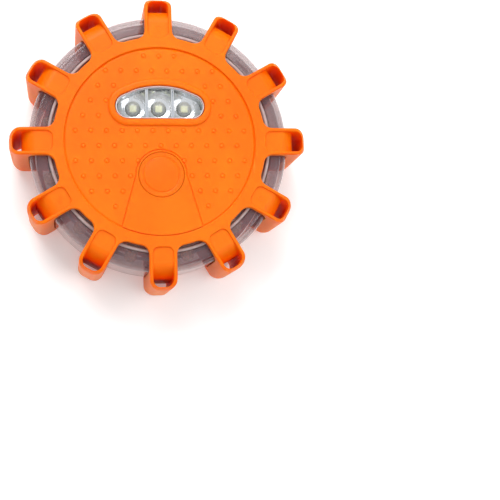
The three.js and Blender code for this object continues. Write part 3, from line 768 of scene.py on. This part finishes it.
def circuit_green(name):
    """Solder mask with copper tracks under it and pale joints."""
    paint = surface(name)
    tracks = paint.cells(170, (1.0, 0.35, 1.0))
    mask = paint.mix(paint.remap(tracks, 0.28, 0.32), srgb(24, 92, 52), srgb(46, 132, 74))
    joints = paint.cells(260)
    colour = paint.mix(paint.remap(joints, 0.16, 0.2, 1, 0), mask, srgb(190, 190, 182))
    paint.set(Base_Color=colour, Roughness=paint.remap(tracks, 0.2, 0.5, 0.34, 0.46),
                  Normal=paint.bump(paint.remap(tracks, 0.28, 0.32), 0.00004, 0.5))
    return paint.owner


def cell_jacket(name):
    """A battery's shrink jacket: dark sleeve with a coloured band towards one end."""
    paint = surface(name)
    band = paint.remap(paint.axis("Y"), 0.008, 0.0084)
    smudge = paint.noise(240, 3, 0.6)
    sleeve = paint.mix(paint.remap(smudge, 0.35, 0.7), srgb(38, 42, 45), srgb(58, 62, 66))
    colour = paint.mix(band, sleeve, srgb(176, 120, 52))
    paint.set(Base_Color=colour, Roughness=paint.remap(smudge, 0.3, 0.7, 0.26, 0.4),
                  Normal=paint.bump(smudge, 0.00005, 0.4))
    paint.set(Metallic=0.35)
    return paint.owner


def lamp_resin(name, tint, alpha):
    """A lamp's cast resin: clear with faint swirls."""
    paint = surface(name)
    swirl = paint.noise(900, 3, 0.6)
    deep = (*(c * 0.82 for c in tint[:3]), 1.0)
    colour = paint.mix(paint.remap(swirl, 0.35, 0.7), tint, deep)
    paint.set(Base_Color=colour, Roughness=paint.remap(swirl, 0.3, 0.7, 0.03, 0.09),
                  Normal=paint.bump(swirl, 0.00003, 0.3))
    paint.set(Alpha=alpha, IOR=1.5, Coat_Weight=0.7)
    return paint.owner


MATERIALS = {
    "shell": orange_plastic("orange_shell_plastic", (255, 119, 0), (252, 109, 0), (255, 140, 44)),
    "cover": orange_plastic("orange_cover_plastic", (255, 120, 0), (252, 110, 0), (255, 142, 46), 0.36),
    "hook": orange_plastic("orange_hook_plastic", (255, 115, 0), (250, 103, 0), (255, 138, 44), 0.32),
    "button": orange_plastic("orange_button_rubber", (254, 116, 0), (250, 106, 0), (255, 134, 42), 0.46),
    "clear": clear_plastic("clear_ring_plastic", srgb(132, 108, 114), 0.29, edge_alpha=0.78),
    "pane": clear_plastic("clear_window_plastic", srgb(235, 238, 240), 0.05, 0.03),
    # painted highlight: opaque white for the pane's edge faces, drawn as a bright line of light round the
    # window
    "painted_edge_highlight": clear_plastic("window_edge_painted_highlight", srgb(255, 255, 255), 1.0, 0.3),
    "chrome": bright_metal("chrome_plating", srgb(244, 246, 250), srgb(222, 228, 236), 0.07, 0.06),
    "zinc": bright_metal("zinc_plating", srgb(206, 206, 198), srgb(170, 168, 158), 0.24, 0.2),
    "nickel": bright_metal("magnet_nickel", srgb(150, 160, 166), srgb(104, 116, 124), 0.22, 0.22),
    "steel": bright_metal("pin_steel", srgb(150, 154, 158), srgb(110, 114, 118), 0.28, 0.2),
    "brass": bright_metal("contact_brass", srgb(206, 172, 98), srgb(166, 132, 66), 0.3, 0.2),
    "black": dull_solid("black_plastic", srgb(34, 34, 36), srgb(24, 24, 25), 0.5),
    "tray": dull_solid("tray_plastic", srgb(52, 48, 48), srgb(38, 35, 35), 0.55, 220),
    "seal": dull_solid("seal_rubber", srgb(188, 172, 170), srgb(168, 150, 148), 0.5, 420),
    "board": circuit_green("circuit_board_mask"),
    "cell": cell_jacket("battery_cell_jacket"),
    "white_resin": lamp_resin("white_lamp_resin", srgb(248, 248, 238), 0.34),
    "amber_resin": lamp_resin("amber_lamp_resin", srgb(238, 196, 150), 0.42),
    "phosphor": dull_solid("lamp_phosphor", srgb(240, 242, 184), srgb(224, 226, 158), 0.5, 2200),
    "amber_die": dull_solid("amber_lamp_die", srgb(240, 150, 50), srgb(214, 120, 36), 0.45, 2200),
    "lead": bright_metal("lamp_lead_tin", srgb(200, 202, 204), srgb(160, 162, 166), 0.25, 0.15),
}


# ---- Front shell ----

def prong_pocket():
    """One prong's pocket along +X: sunk strap on both faces, joined by a slot behind the tip wall."""
    outer = TIP_R + 2
    bend = STRAP_OUTER_R - STRAP_BEND_R
    back = oval(STRAP_BEND_R, STRAP_SINK + STRAP_BEND_DEPTH, bend, -STRAP_BEND_DEPTH, 0, 90, 14)
    face = [(r, FACE_Z - z) for r, z in reversed(back)]
    section = [
        (DISC_R - 1, FACE_Z + 1),
        (DISC_R - 1, FACE_Z - STRAP_SINK),
        *face,
        *back,
        (COVER_RIM_INNER_R, STRAP_SINK),
        (COVER_RIM_INNER_R, -1),
        (outer, -1),
        (outer, FACE_Z + 1),
    ]
    top = edge_rings(pocket_outline, -POCKET_FLARE, POCKET_FLARE, face_level, 1)
    bottom = edge_rings(pocket_outline, -POCKET_FLARE, POCKET_FLARE, back_level, -1)[::-1]
    plan = loft("pocket_plan", [beyond(bottom[0], -2), *bottom, *top, beyond(top[-1], FACE_Z + 2)])
    return common(slab("pocket", section, 4 * HALF_WIDTH), plan)


def case_body():
    """The pronged disc with rounded rims, under the turned form of the face."""
    top = edge_rings(case_outline, CASE_EDGE, CASE_EDGE, face_level, 1, 5, 80)
    bottom = edge_rings(case_outline, CASE_EDGE, CASE_EDGE, back_level, -1, 5, 80)[::-1]
    body = loft("front", [beyond(bottom[0], -1), *bottom, *top, beyond(top[-1], FACE_Z + 1)])
    rim_r = TIP_R - RIM_WIDTH
    low = oval(rim_r, RIM_HEIGHT, RIM_WIDTH, RIM_HEIGHT, -90, 0, 12)
    high = [(r, FACE_Z - z) for r, z in reversed(low)]
    step = FACE_Z - PANEL_Z
    soft_step = [
        *arc(PANEL_R + step / 2, FACE_Z - step / 2, step / 2, 90, 180, 4),
        (PANEL_R - 0.1, PANEL_Z - PANEL_GROOVE),
        (PANEL_R - 0.4, PANEL_Z - PANEL_GROOVE),
        (PANEL_R - 0.95, PANEL_Z),
    ]
    section = [(0, 0), *low, *high, *soft_step, (0, PANEL_Z)]
    return common(body, lathe("envelope", section, 240))


def cavity():
    """The room for the clear rings and the back cover inside the prongs."""
    opening = COVER_R + GAP
    side = [(r, z) for r, z in ring_side(GAP) if r > opening or z > FACE_Z / 2]
    section = [(0, -1), (opening, -1), (opening, RECESS_FLOOR_Z), *side, (0, PLATE_UNDER_Z)]
    return lathe("cavity", section, 240)


def dot_places():
    """Staggered rows of places, clear of the window, the button panel and the face's edge."""
    places = []
    for row in range(-DOT_ROWS, DOT_ROWS + 1):
        y = row * DOT_ROW + DOT_FIRST_Y
        shift = 0.5 if row % 2 else 0.0
        for column in range(-DOT_COLUMNS, DOT_COLUMNS + 1):
            x = (column + shift) * DOT_PITCH
            if math.hypot(x, y) < DOT_LIMIT_R and not near_window(x, y) and not in_button_panel(x, y):
                places.append((x, y))
    return places


def face_dots(shell):
    """Low round dots, each in a shallow ring."""
    places = [shift(x, y) for x, y in dot_places()]
    ring = [(DOT_R - 0.05, PANEL_Z + 0.3), (DOT_R + 0.2, PANEL_Z - DOT_DEPTH), (DOT_R + 0.5, PANEL_Z + 0.3)]
    cut(shell, copies(lathe("ring", ring, 16), "rings", places))
    dome = [(0, PANEL_Z - 0.5), (DOT_R, PANEL_Z - 0.5), (DOT_R, PANEL_Z - 0.02)]
    for degrees in (25, 50, 72):
        c, s = math.cos(math.radians(degrees)), math.sin(math.radians(degrees))
        dome.append((DOT_R * c, PANEL_Z + DOT_HEIGHT * s))
    dome.append((0, PANEL_Z + DOT_HEIGHT))
    return add(shell, copies(lathe("dot", dome, 16), "dots", places))


def near_window(x, y):
    """True if a point is inside the window's lip or close to it."""
    across, up = abs(x), y - WINDOW_Y
    margin = WINDOW_LIP + DOT_MARGIN
    if across <= WINDOW_END_X:
        return WINDOW_END_Y - WINDOW_END_R - margin < up < WINDOW_ARCH_Y + WINDOW_ARCH_R + margin
    return math.hypot(across - WINDOW_END_X, up - WINDOW_END_Y) < WINDOW_END_R + margin


def in_button_panel(x, y):
    """True if a point is inside the keyhole panel or close to its edge."""
    foot = PANEL_R * math.sin(math.radians(BUTTON_PANEL_FOOT))
    foot_y = -PANEL_R * math.cos(math.radians(BUTTON_PANEL_FOOT))
    below = max(0.0, (BUTTON_Y - y) / (BUTTON_Y - foot_y))
    edge = BUTTON_PANEL_R + (foot - BUTTON_PANEL_R) * below + DOT_MARGIN
    return math.hypot(x, min(0.0, BUTTON_Y - y)) < edge


def ring_marks(name, inner, outer, low, high, radius, turns):
    """Small raised rings at the given turns round the case."""
    places = [turn(degrees) @ shift(radius, 0) for degrees in turns]
    return copies(tube(name, inner, outer, low, high, 24), name, places)


def front_shell():
    shell = case_body()
    cut(shell, cavity())
    cut(shell, copies(prong_pocket(), "pockets", [turn(i * PRONG_STEP) for i in range(PRONG_COUNT)]))
    cut(shell, mouth_cutter("panel_groove", panel_border, PANEL_Z - PANEL_GROOVE, PANEL_Z, 0.25))
    add(shell, soft_prism("panel", button_panel_outline, PANEL_Z - 1, BUTTON_PANEL_Z, None, (0.3, 0.3)))
    add(shell, soft_prism("lip", lip_outline, PANEL_Z - 1, LIP_Z, None, LIP_EDGE))
    add(shell, prism("socket", window_outline(SOCKET_WALL), SOCKET_LOW_Z, PANEL_Z - 1))
    root = PLATE_UNDER_Z + JOIN
    add(shell, tube("spigot", SPIGOT_R - SPIGOT_WALL, SPIGOT_R, PLATE_UNDER_Z - 3, root, 120))
    cut(shell, mouth_cutter("window", window_outline, 0, LIP_Z, 0.5))
    cut(shell, mouth_cutter("button_hole", circle(0, BUTTON_Y, BUTTON_R + GAP), 0, BUTTON_PANEL_Z, 0.22))
    for x in (-CASE_SCREW_X, CASE_SCREW_X):
        add(shell, rod("post", CASE_POST_R, COVER_BOSS_HIGH_Z + GAP, root, 32, x))
        cut(shell, rod("bore", CASE_SHANK_BORE_R, 0, CASE_SHANK_BORE_Z, 24, x))
    for x, y in BOARD_SCREWS:
        add(shell, rod("board_post", BOARD_POST_R, BOARD_HIGH_Z + GAP, root, 32, x, y))
        cut(shell, rod("board_bore", BOARD_BORE_R, 0, BOARD_BORE_Z, 24, x, y))
    face_dots(shell)
    strap = FACE_Z - STRAP_SINK
    add(shell, ring_marks("strap_marks", 0.7, 1.05, strap - JOIN, strap + 0.14, DISC_R + 3.4, (90, -30, 210)))
    finished(shell, "shell_front", "case", "orange_shell", "shell", "front_shell")


# ---- Clear rings, seals ----

def clear_rings():
    inner = LENS_R - LENS_WALL
    start = math.degrees(math.asin((inner - LENS_R + CORNER_WIDTH) / CORNER_WIDTH))
    groove_in, groove_out = SEAL_R - GROOVE_HALF_WIDTH, SEAL_R + GROOVE_HALF_WIDTH
    section = [
        *ring_side(0, 12, start),
        (groove_out, LENS_HIGH_Z),
        (groove_out, LENS_HIGH_Z - GROOVE_DEPTH),
        (groove_in, LENS_HIGH_Z - GROOVE_DEPTH),
        (groove_in, LENS_HIGH_Z),
        (LENS_INNER_R, LENS_HIGH_Z),
        (LENS_INNER_R, LENS_HIGH_Z - FLANGE),
        (inner - 2, LENS_HIGH_Z - FLANGE),
        *arc(inner - 2, LENS_HIGH_Z - FLANGE - 2, 2, 80, 0, 5),
    ]
    ring = lathe("ring", section, 180)
    half = LUG_LENGTH / 2
    for degrees in (-LUG_TURN, LUG_TURN):
        lug = box("lug", (-half, inner + 0.5, LUG_LOW_Z), (half, LUG_OUTER_R, LUG_HIGH_Z))
        add(ring, place(rounded_box(lug, 0.7), turn(degrees)))
    finished(ring, "ring_clear", "case", "clear_plastic", "clear", "clear_lens_ring")
    outer = inner - GAP
    base = lathe("base", [
        (LENS_INNER_R, LENS_LOW_Z),
        (groove_in, LENS_LOW_Z),
        (groove_in, LENS_LOW_Z + GROOVE_DEPTH),
        (groove_out, LENS_LOW_Z + GROOVE_DEPTH),
        (groove_out, LENS_LOW_Z),
        (outer, LENS_LOW_Z),
        (outer, LENS_LOW_Z + FLANGE),
        (LENS_INNER_R, LENS_LOW_Z + FLANGE),
    ], 180)
    finished(base, "ring_clear_base", "case", "clear_plastic", "clear", "clear_base_ring")


def rounded_box(obj, width):
    modifier = obj.modifiers.new("bevel", "BEVEL")
    modifier.width = width
    modifier.segments = 3
    return applied(obj)


def seals():
    heights = {
        "seal_front": LENS_HIGH_Z - GROOVE_DEPTH + GAP + SEAL_SECTION_R,
        "seal_back": COVER_HIGH_Z + GAP + SEAL_SECTION_R,
    }
    for node, z in heights.items():
        ring = lathe("seal", arc(SEAL_R, z, SEAL_SECTION_R, 0, 337.5, 15), 180)
        finished(ring, node + "_ring", "case", "seal_rubber", "seal", node, weighted=False)


# ---- Back cover and its fittings ----

def on_pin(obj, x=0.0):
    """A form turned about Z is laid along the hook's pin."""
    return place(obj, shift(x, PIN_Y, PIN_Z) @ turn(90, "Y"))


def pin_rod(name, radius, low, high):
    return on_pin(rod(name, radius, low, high, 32))


def back_cover():
    join = COVER_HIGH_Z - JOIN
    neck_end = PIN_Y - KNUCKLE_R
    edge = (0.35, 0.35)
    cover = soft_prism("cover", tab_outline, 0, COVER_HIGH_Z, edge)
    common(cover, rod("limit", COVER_R, -1, COVER_HIGH_Z, 240))
    rim_low = COVER_RIM_LOW_Z
    rim = [
        (COVER_RIM_INNER_R, rim_low + 0.3),
        (COVER_RIM_INNER_R + 0.3, rim_low),
        (COVER_R - 0.3, rim_low),
        (COVER_R, rim_low + 0.3),
        (COVER_R, COVER_HIGH_Z),
        (COVER_RIM_INNER_R, COVER_HIGH_Z),
    ]
    add(cover, lathe("rim", rim, 240))
    add(cover, tube("spigot", SPIGOT_R - SPIGOT_WALL, SPIGOT_R, join, LENS_LOW_Z + FLANGE, 120))
    add(cover, rod("boss", MAGNET_BOSS_R, join, MAGNET_BOSS_HIGH_Z, 96))
    add(cover, prism("backing", hook_outline(RECESS_CLEARANCE + RECESS_WALL, neck_end), join, RECESS_HIGH_Z))
    pivot_low = (-PIN_HIGH_X - RECESS_WALL, neck_end - RECESS_WALL, join)
    add(cover, box("pivot", pivot_low, (-PIN_LOW_X + RECESS_WALL, PIN_Y + 3, RECESS_HIGH_Z)))
    for x in (-CASE_SCREW_X, CASE_SCREW_X):
        add(cover, rod("screw_boss", COVER_BOSS_R, join, COVER_BOSS_HIGH_Z, 48, x))
        cut(cover, mouth_cutter("head_bore", circle(x, 0, CASE_SCREW_BORE_R, 48), HEAD_SEAT_Z, 0, 0.3))
        cut(cover, rod("shank_bore", CASE_SHANK_BORE_R, -1, COVER_BOSS_HIGH_Z + 1, 24, x))
    cut(cover, mouth_cutter("magnet_bore", circle(0, 0, MAGNET_R + GAP, 96), MAGNET_HEIGHT + GAP, 0, 0.3))
    cut(cover, mouth_cutter("recess", recess_outline, RECESS_FLOOR_Z, 0, 0.2))
    low = (-NECK_RIGHT_X - RECESS_CLEARANCE, neck_end - RECESS_CLEARANCE, -1)
    high = (-NECK_LEFT_X + RECESS_CLEARANCE, PIN_Y + KNUCKLE_R + RECESS_CLEARANCE, KNUCKLE_FLOOR_Z)
    cut(cover, box("knuckle_room", low, high))
    cut(cover, pin_rod("pin_bore", PIN_R + GAP, -PIN_HIGH_X - GAP, -PIN_LOW_X + GAP))
    cut(cover, mouth_cutter("scoop", scoop_outline, SCOOP_DEPTH, 0, 0.3))
    cut(cover, soft_groove(COVER_GROOVE_R, 0.3), soft_groove(MAGNET_BOSS_R, 0.2))
    add(cover, ring_marks("tab_marks", 0.8, 1.2, 0, 0.5, DISC_R + 3.2, (90, 270)))
    finished(cover, "cover_back", "case", "orange_shell", "cover", "back_cover")


def scoop_outline(grow):
    return oval(-SCOOP_X, SCOOP_LOW_Y, SCOOP_HALF_WIDTH + grow, SCOOP_HEIGHT + grow, 0, 180, 24)


def soft_groove(radius, depth):
    """A shallow V-shaped ring cut in the back face."""
    return lathe("groove", [(radius - 1.6 * depth, -0.2), (radius + 1.6 * depth, -0.2), (radius, depth)], 180)


def hook():
    whole = soft_prism("hook", hook_plan, 0, HOOK_THICKNESS, (0.55, 0.45), (0.3, 0.3))
    cut(whole, mouth_cutter("channel", channel_outline, CHANNEL_DEPTH, 0, 0.35))
    add(whole, pin_rod("knuckle", KNUCKLE_R, -NECK_RIGHT_X, -NECK_LEFT_X))
    cut(whole, pin_rod("bore", PIN_R + GAP, -NECK_RIGHT_X - 1, -NECK_LEFT_X + 1))
    finished(whole, "hook_fold_out", "hook", "orange_shell", "hook", "hook")


def hook_pin():
    half = (PIN_HIGH_X - PIN_LOW_X) / 2
    middle = -(PIN_LOW_X + PIN_HIGH_X) / 2
    pin = lathe("pin", [
        (0, -half),
        (PIN_R - 0.2, -half),
        (PIN_R, 0.2 - half),
        (PIN_R, half - 0.2),
        (PIN_R - 0.2, half),
        (0, half),
    ], 32)
    on_pin(pin, middle)
    finished(pin, "hook_pin_steel", "case", "zinc", "steel", "hook_pin")


def magnet():
    disc = lathe("magnet", [
        (0, 0.0),
        (MAGNET_R - 1.1, 0.0),
        (MAGNET_R - 1.0, 0.06),
        (MAGNET_R - 0.85, 0.06),
        (MAGNET_R - 0.7, 0.0),
        (MAGNET_R - 0.5, 0.03),
        *arc(MAGNET_R - 0.5, 0.5, 0.5, -85, 0, 5),
        (MAGNET_R, MAGNET_HEIGHT - 0.3),
        (MAGNET_R - 0.3, MAGNET_HEIGHT),
        (0, MAGNET_HEIGHT),
    ], 120)
    finished(disc, "magnet_disc", "case", "magnet_nickel", "nickel", "magnet")


def screw(name, node, x, y, kind, degrees):
    """A cross-recessed pan-head screw with a threaded shank, its head facing -Z."""
    head_r, low, high, shank_r, tip = kind
    depth = high - low
    dome = depth * 0.75
    section = [(0, low), *oval(0, low + dome, head_r, -dome, 75, 0, 5), (head_r, high), (shank_r, high)]
    z = high + 0.3
    while z + THREAD_PITCH < tip - THREAD_TIP:
        for out, up in ((0.78, 0), (1, 0.5), (0.78, 0.98)):
            section.append((shank_r * out, z + THREAD_PITCH * up))
        z += THREAD_PITCH
    section += [(shank_r * 0.7, tip - THREAD_TIP), (0, tip)]
    body = lathe(name, section, 48)
    arm, width, floor = head_r * 0.56, head_r * 0.12, low + depth * 0.62
    cut(body, taper_bar(arm, width, low - 1, floor), taper_bar(width, arm, low - 1, floor))
    place(body, shift(x, y) @ turn(degrees))
    finished(body, name, "case", "zinc", "zinc", node)


def taper_bar(half_x, half_y, low, high):
    """A cross arm that narrows with depth, as a driver's recess does."""
    bar = box("arm", (-half_x, -half_y, low), (half_x, half_y, high))
    for vertex in bar.data.vertices:
        if vertex.co.z > low + 0.1:
            vertex.co.x *= 0.55 if half_x > half_y else 0.9
            vertex.co.y *= 0.55 if half_y > half_x else 0.9
    return bar


# ---- Lamp window ----

def window_lens():
    pane = soft_prism("pane", pane_outline, WINDOW_LENS_LOW_Z, WINDOW_LENS_HIGH_Z, None, (0.28, 0.28))
    finished(pane, "window_pane", "case", "clear_plastic", "pane", "window_lens")
    # The pane's upright edge faces get the opaque white look: a painted highlight, a bright line round the
    # window.
    pane.data.materials.append(MATERIALS["painted_edge_highlight"])
    for face in pane.data.polygons:
        face.material_index = 0 if abs(face.normal.z) > 0.97 else 1


def reflector():
    """A chromed block with three flared bowls, parted by two upright bars, and a rim round the pane."""
    whole = prism("reflector", pane_outline(0), REFLECTOR_LOW_Z, REFLECTOR_HIGH_Z)
    inside = pane_outline(-0.5)
    bowl = [
        (0, REFLECTOR_LOW_Z - 1),
        (CUP_BOTTOM_R, REFLECTOR_LOW_Z - 1),
        (CUP_BOTTOM_R, BOWL_LOW_Z),
        *oval(CUP_BOTTOM_R, REFLECTOR_HIGH_Z, BOWL_R - CUP_BOTTOM_R, BOWL_LOW_Z - REFLECTOR_HIGH_Z, 80, 0, 9),
        (BOWL_R, REFLECTOR_HIGH_Z + 0.5),
        (0, REFLECTOR_HIGH_Z + 0.5),
    ]
    low, high = REFLECTOR_LOW_Z - 2, REFLECTOR_HIGH_Z + 1
    inner, outer = (WHITE_LED_PITCH - BAR_WIDTH) / 2, 2 * BOWL_R
    for i in (-1, 0, 1):
        x = i * WHITE_LED_PITCH
        tool = place(lathe("bowl", bowl, 64), shift(x, WHITE_LED_Y))
        left = x - (inner if i > -1 else outer)
        right = x + (inner if i < 1 else outer)
        common(tool, box("bay", (left, WHITE_LED_Y - outer, low), (right, WHITE_LED_Y + outer, high)))
        cut(whole, common(tool, prism("bay_plan", inside, low, high)))
    for x in (-WHITE_LED_PITCH / 2, WHITE_LED_PITCH / 2):
        slot_low = (x - SLOT_WIDTH / 2, WINDOW_Y - BOWL_R, REFLECTOR_HIGH_Z - SLOT_DEPTH)
        slot = box("slot", slot_low, (x + SLOT_WIDTH / 2, WINDOW_Y + BOWL_R, high))
        cut(whole, common(slot, prism("slot_plan", inside, low, high)))
    finished(whole, "reflector_chrome", "case", "chrome", "chrome", "reflector")


def lamp_parts(tag):
    """A dome lamp pointing along +Z: resin body, metal frame with its cup, and the lit die."""
    body = lathe(tag + "_body", [
        (0, 0),
        (LAMP_R, 0),
        (LAMP_R + 0.3, 0.1),
        (LAMP_R + 0.4, 0.25),
        (LAMP_R + 0.4, 0.85),
        (LAMP_R + 0.3, 1.0),
        (LAMP_R, 1.02),
        *arc(0, LAMP_DOME_Z, LAMP_R, 0, 90, 16),
    ], 40)
    cup = lathe(tag + "_cup", [(0, 3.4), (0.5, 3.4), (1.3, 4.5), (1.15, 4.5), (0.62, 3.9), (0, 3.9)], 24)
    post = box(tag + "_post", (-0.35, -0.3, 0.3), (0.35, 0.3, 3.5))
    anvil = box(tag + "_anvil", (0.95, -0.25, 0.3), (1.5, 0.25, 4.3))
    die = box(tag + "_die", (-CHIP_HALF, -CHIP_HALF, CHIP_LOW_Z), (CHIP_HALF, CHIP_HALF, CHIP_HIGH_Z))
    return body, [cup, post, anvil], rounded_box(die, 0.15)


def legs(tag, length, rise):
    """Two square leads, bent aside at their ends where they rise to the board."""
    bars = []
    for x in (-LEG_X, LEG_X):
        left, right = x - LEG_HALF, x + LEG_HALF
        bar = box(tag, (left, -LEG_HALF, -length), (right, LEG_HALF, 0.2))
        if rise > 0:
            add(bar, box(tag, (left, -LEG_HALF, -length), (right, rise, 2 * LEG_HALF - length)))
        bars.append(rounded_box(bar, 0.08))
    return bars


def lamp(node, matrix, resin, glow, slot_name, leg_length, leg_rise):
    """One lamp: the resin, the metal and the die together replace the CAD lamp."""
    body, frame_parts, die = lamp_parts(node)
    metal = merged(node + "_metal", frame_parts + legs(node + "_legs", leg_length, leg_rise))
    for part in (body, metal, die):
        place(part, matrix)
    finished(body, node + "_resin", "case", slot_name, resin, node)
    finished(metal, node + "_leads", "case", "zinc", "lead", node)
    finished(die, node + "_die", "case", slot_name, glow, node)


def lamps():
    length = WHITE_LED_Z - BOARD_HIGH_Z - GAP
    for i in range(3):
        at = shift((i - 1) * WHITE_LED_PITCH, WHITE_LED_Y, WHITE_LED_Z)
        lamp(f"white_led_{i + 1}", at, "white_resin", "phosphor", "white_lamp", length, 0)
    outward_facing = shift(AMBER_LED_R, 0, AMBER_LED_Z) @ turn(90, "X") @ turn(90, "Y")
    rise = BOARD_LOW_Z - AMBER_LED_Z - GAP
    for i in range(PRONG_COUNT):
        at = turn((i + 0.5) * PRONG_STEP) @ outward_facing
        lamp(f"amber_led_{i + 1}", at, "amber_resin", "amber_die", "amber_lamp", AMBER_LEG_LENGTH, rise)


# ---- Push button ----

def push_button():
    rim = BUTTON_PANEL_Z
    under = PLATE_UNDER_Z - GAP
    crown = BUTTON_CROWN_R
    section = [
        (0, BUTTON_STEM_LOW_Z),
        (1.7, BUTTON_STEM_LOW_Z),
        (1.8, BUTTON_STEM_LOW_Z + 0.1),
        (1.8, under - 1.2),
        (BUTTON_R + 1.3, under - 1.2),
        (BUTTON_R + 1.4, under - 1.1),
        (BUTTON_R + 1.4, under - 0.1),
        (BUTTON_R + 1.3, under),
        (BUTTON_CAP_R, under),
        (BUTTON_CAP_R, rim - 0.3),
        *arc(BUTTON_CAP_R - 0.3, rim - 0.3, 0.3, 10, 90, 5),
        (crown + 0.65, rim),
        (crown + 0.35, rim - 0.2),
        (crown + 0.1, rim - 0.22),
        (crown - 0.1, rim - 0.02),
        (crown - 0.35, rim + 0.12),
        *[(crown * (1 - t), rim + 0.12 + 0.23 * (1 - (1 - t) ** 2)) for t in (0.2, 0.35, 0.5, 0.65, 0.8)],
        (0, rim + 0.35),
    ]
    button = lathe("button", section, 96)
    place(button, shift(0, BUTTON_Y))
    finished(button, "button_power", "power_button", "orange_shell", "button", "power_button")


# ---- Inner pieces ----

def box_of(node):
    """The low and high corners of a CAD node's box, in millimetres."""
    low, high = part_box(node)
    return low / MM, high / MM


def battery_cells():
    """Smooth cells with a crimped end and a raised positive cap, in place of the CAD ones."""
    for i in range(3):
        node = f"battery_cell_{i + 1}"
        low, high = box_of(node)
        radius = (high.x - low.x) / 2
        half = (high.y - low.y) / 2
        section = [
            (0, -half), (radius - 0.9, -half), (radius - 0.7, 0.15 - half), (radius - 0.35, 0.15 - half),
            (radius, 0.5 - half), (radius, half - 1.3), (radius - 0.35, half - 0.95),
            (radius - 0.8, half - 0.95), (radius - 1.1, half - 0.8), (1.9, half - 0.8),
            (1.85, half - 0.1), (1.7, half), (0, half),
        ]
        facing = 90 if i == 1 else -90
        cell = place(lathe(node, section, 48), shift(*((low + high) / 2)) @ turn(facing, "X"))
        finished(cell, node + "_body", "case", "cell", "cell", node)


def springs():
    """Wire-wound conical contact springs."""
    steps, sides = 110, 10
    for i in range(3):
        node = f"contact_spring_{i + 1}"
        low, high = box_of(node)
        facing = 1 if i == 1 else -1
        x = (low.x + high.x) / 2
        base_y = (low.y if i == 1 else high.y) + SPRING_WIRE_R * facing
        travel = high.y - low.y - 2 * SPRING_WIRE_R
        rings = []
        for k in range(steps + 1):
            t = k / steps
            angle = 2 * math.pi * SPRING_TURNS * t
            radius = SPRING_WIDE_R + (SPRING_NARROW_R - SPRING_WIDE_R) * t
            level = base_y + facing * travel * t
            section = arc(radius, level, SPRING_WIRE_R, 0, 360 - 360 / sides, sides - 1)
            cos, sin = math.cos(angle), math.sin(angle)
            rings.append([(x + out * cos, up, CELL_Z + out * sin) for out, up in section])
        finished(loft(node, rings), node + "_wire", "case", "zinc", "zinc", node, weighted=False)


def paint_kept_nodes():
    """Materials for the CAD pieces that keep their own shape."""
    kept = {
        "circuit_board": ("board", "board"),
        "switch_body": ("black", "black_plastic"),
        "switch_plunger": ("black", "black_plastic"),
        "controller_chip": ("black", "black_plastic"),
        "battery_tray": ("tray", "black_plastic"),
        "contact_positive": ("brass", "brass"),
        "contact_negative": ("brass", "brass"),
        "contact_link_front": ("brass", "brass"),
        "contact_link_rear": ("brass", "brass"),
    }
    for node, (look, slot_name) in kept.items():
        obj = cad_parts[node]
        obj.data.materials.clear()
        obj.data.materials.append(MATERIALS[look])


# ---- Stage, lights and camera ----

def stage():
    corners = [(FLOOR_HALF * x, FLOOR_HALF * y, FLOOR_Z) for x, y in ((-1, -1), (1, -1), (1, 1), (-1, 1))]
    floor = new_object("floor", corners, [[0, 1, 2, 3]])
    paint = surface("floor_paper")
    mottle = paint.remap(paint.noise(6, 3, 0.5), 0.3, 0.7)
    tone = paint.mix(mottle, (0.97, 0.97, 0.97, 1), (0.95, 0.95, 0.95, 1))
    paint.set(Base_Color=tone, Roughness=0.9, Emission_Color=(1, 1, 1, 1), Emission_Strength=0.2)
    floor.data.materials.append(paint.owner)


def area_light(name, position, power):
    """A round soft light that looks at the flare."""
    data = bpy.data.lights.new(name, "AREA")
    data.shape = "DISK"
    data.size = LIGHT_SIZE
    data.energy = power
    light = linked(bpy.data.objects.new(name, data))
    light.location = position
    light.rotation_euler = (-Vector(position)).to_track_quat("-Z", "Y").to_euler()


def lights():
    """A key light beyond the lamp window, a fill beside it and a sky that darkens downwards."""
    area_light("key", (-0.25, 0.75, 0.9), 11)
    area_light("fill", (0.7, -0.2, 0.9), 4)
    sky = Painter(bpy.data.worlds.new("studio"), "Background", "Generated")
    sky.set(Strength=0.72, Color=sky.remap(sky.axis("Z"), 0.15, 0.75, 0.3, 1.0))
    bpy.context.scene.world = sky.owner


def camera():
    """Above the face and a little towards the button side, aimed beside the flare."""
    eye, aim = Vector(CAMERA_EYE), Vector(CAMERA_AIM)
    forward = (aim - eye).normalized()
    right = forward.cross(Vector((0, 1, 0))).normalized()
    up = right.cross(forward)
    facing = Matrix((right, up, -forward)).transposed().to_4x4()
    data = bpy.data.cameras.new("camera")
    data.lens = CAMERA_LENS
    data.sensor_width = 36
    view = linked(bpy.data.objects.new("camera", data))
    view.matrix_world = shift(*eye) @ facing @ turn(CAMERA_ROLL)
    bpy.context.scene.camera = view


camera()
lights()
stage()
front_shell()
clear_rings()
seals()
back_cover()
hook()
hook_pin()
magnet()
screw("screw_left", "case_screw_left", -CASE_SCREW_X, 0, CASE_SCREW, 28)
screw("screw_right", "case_screw_right", CASE_SCREW_X, 0, CASE_SCREW, 3)
for index, (screw_x, screw_y) in enumerate(BOARD_SCREWS):
    screw(f"screw_board_{index + 1}", f"board_screw_{index + 1}", screw_x, screw_y, BOARD_SCREW, 40)
window_lens()
reflector()
lamps()
push_button()
battery_cells()
springs()
paint_kept_nodes()
bpy.context.scene.view_settings.view_transform = "Standard"
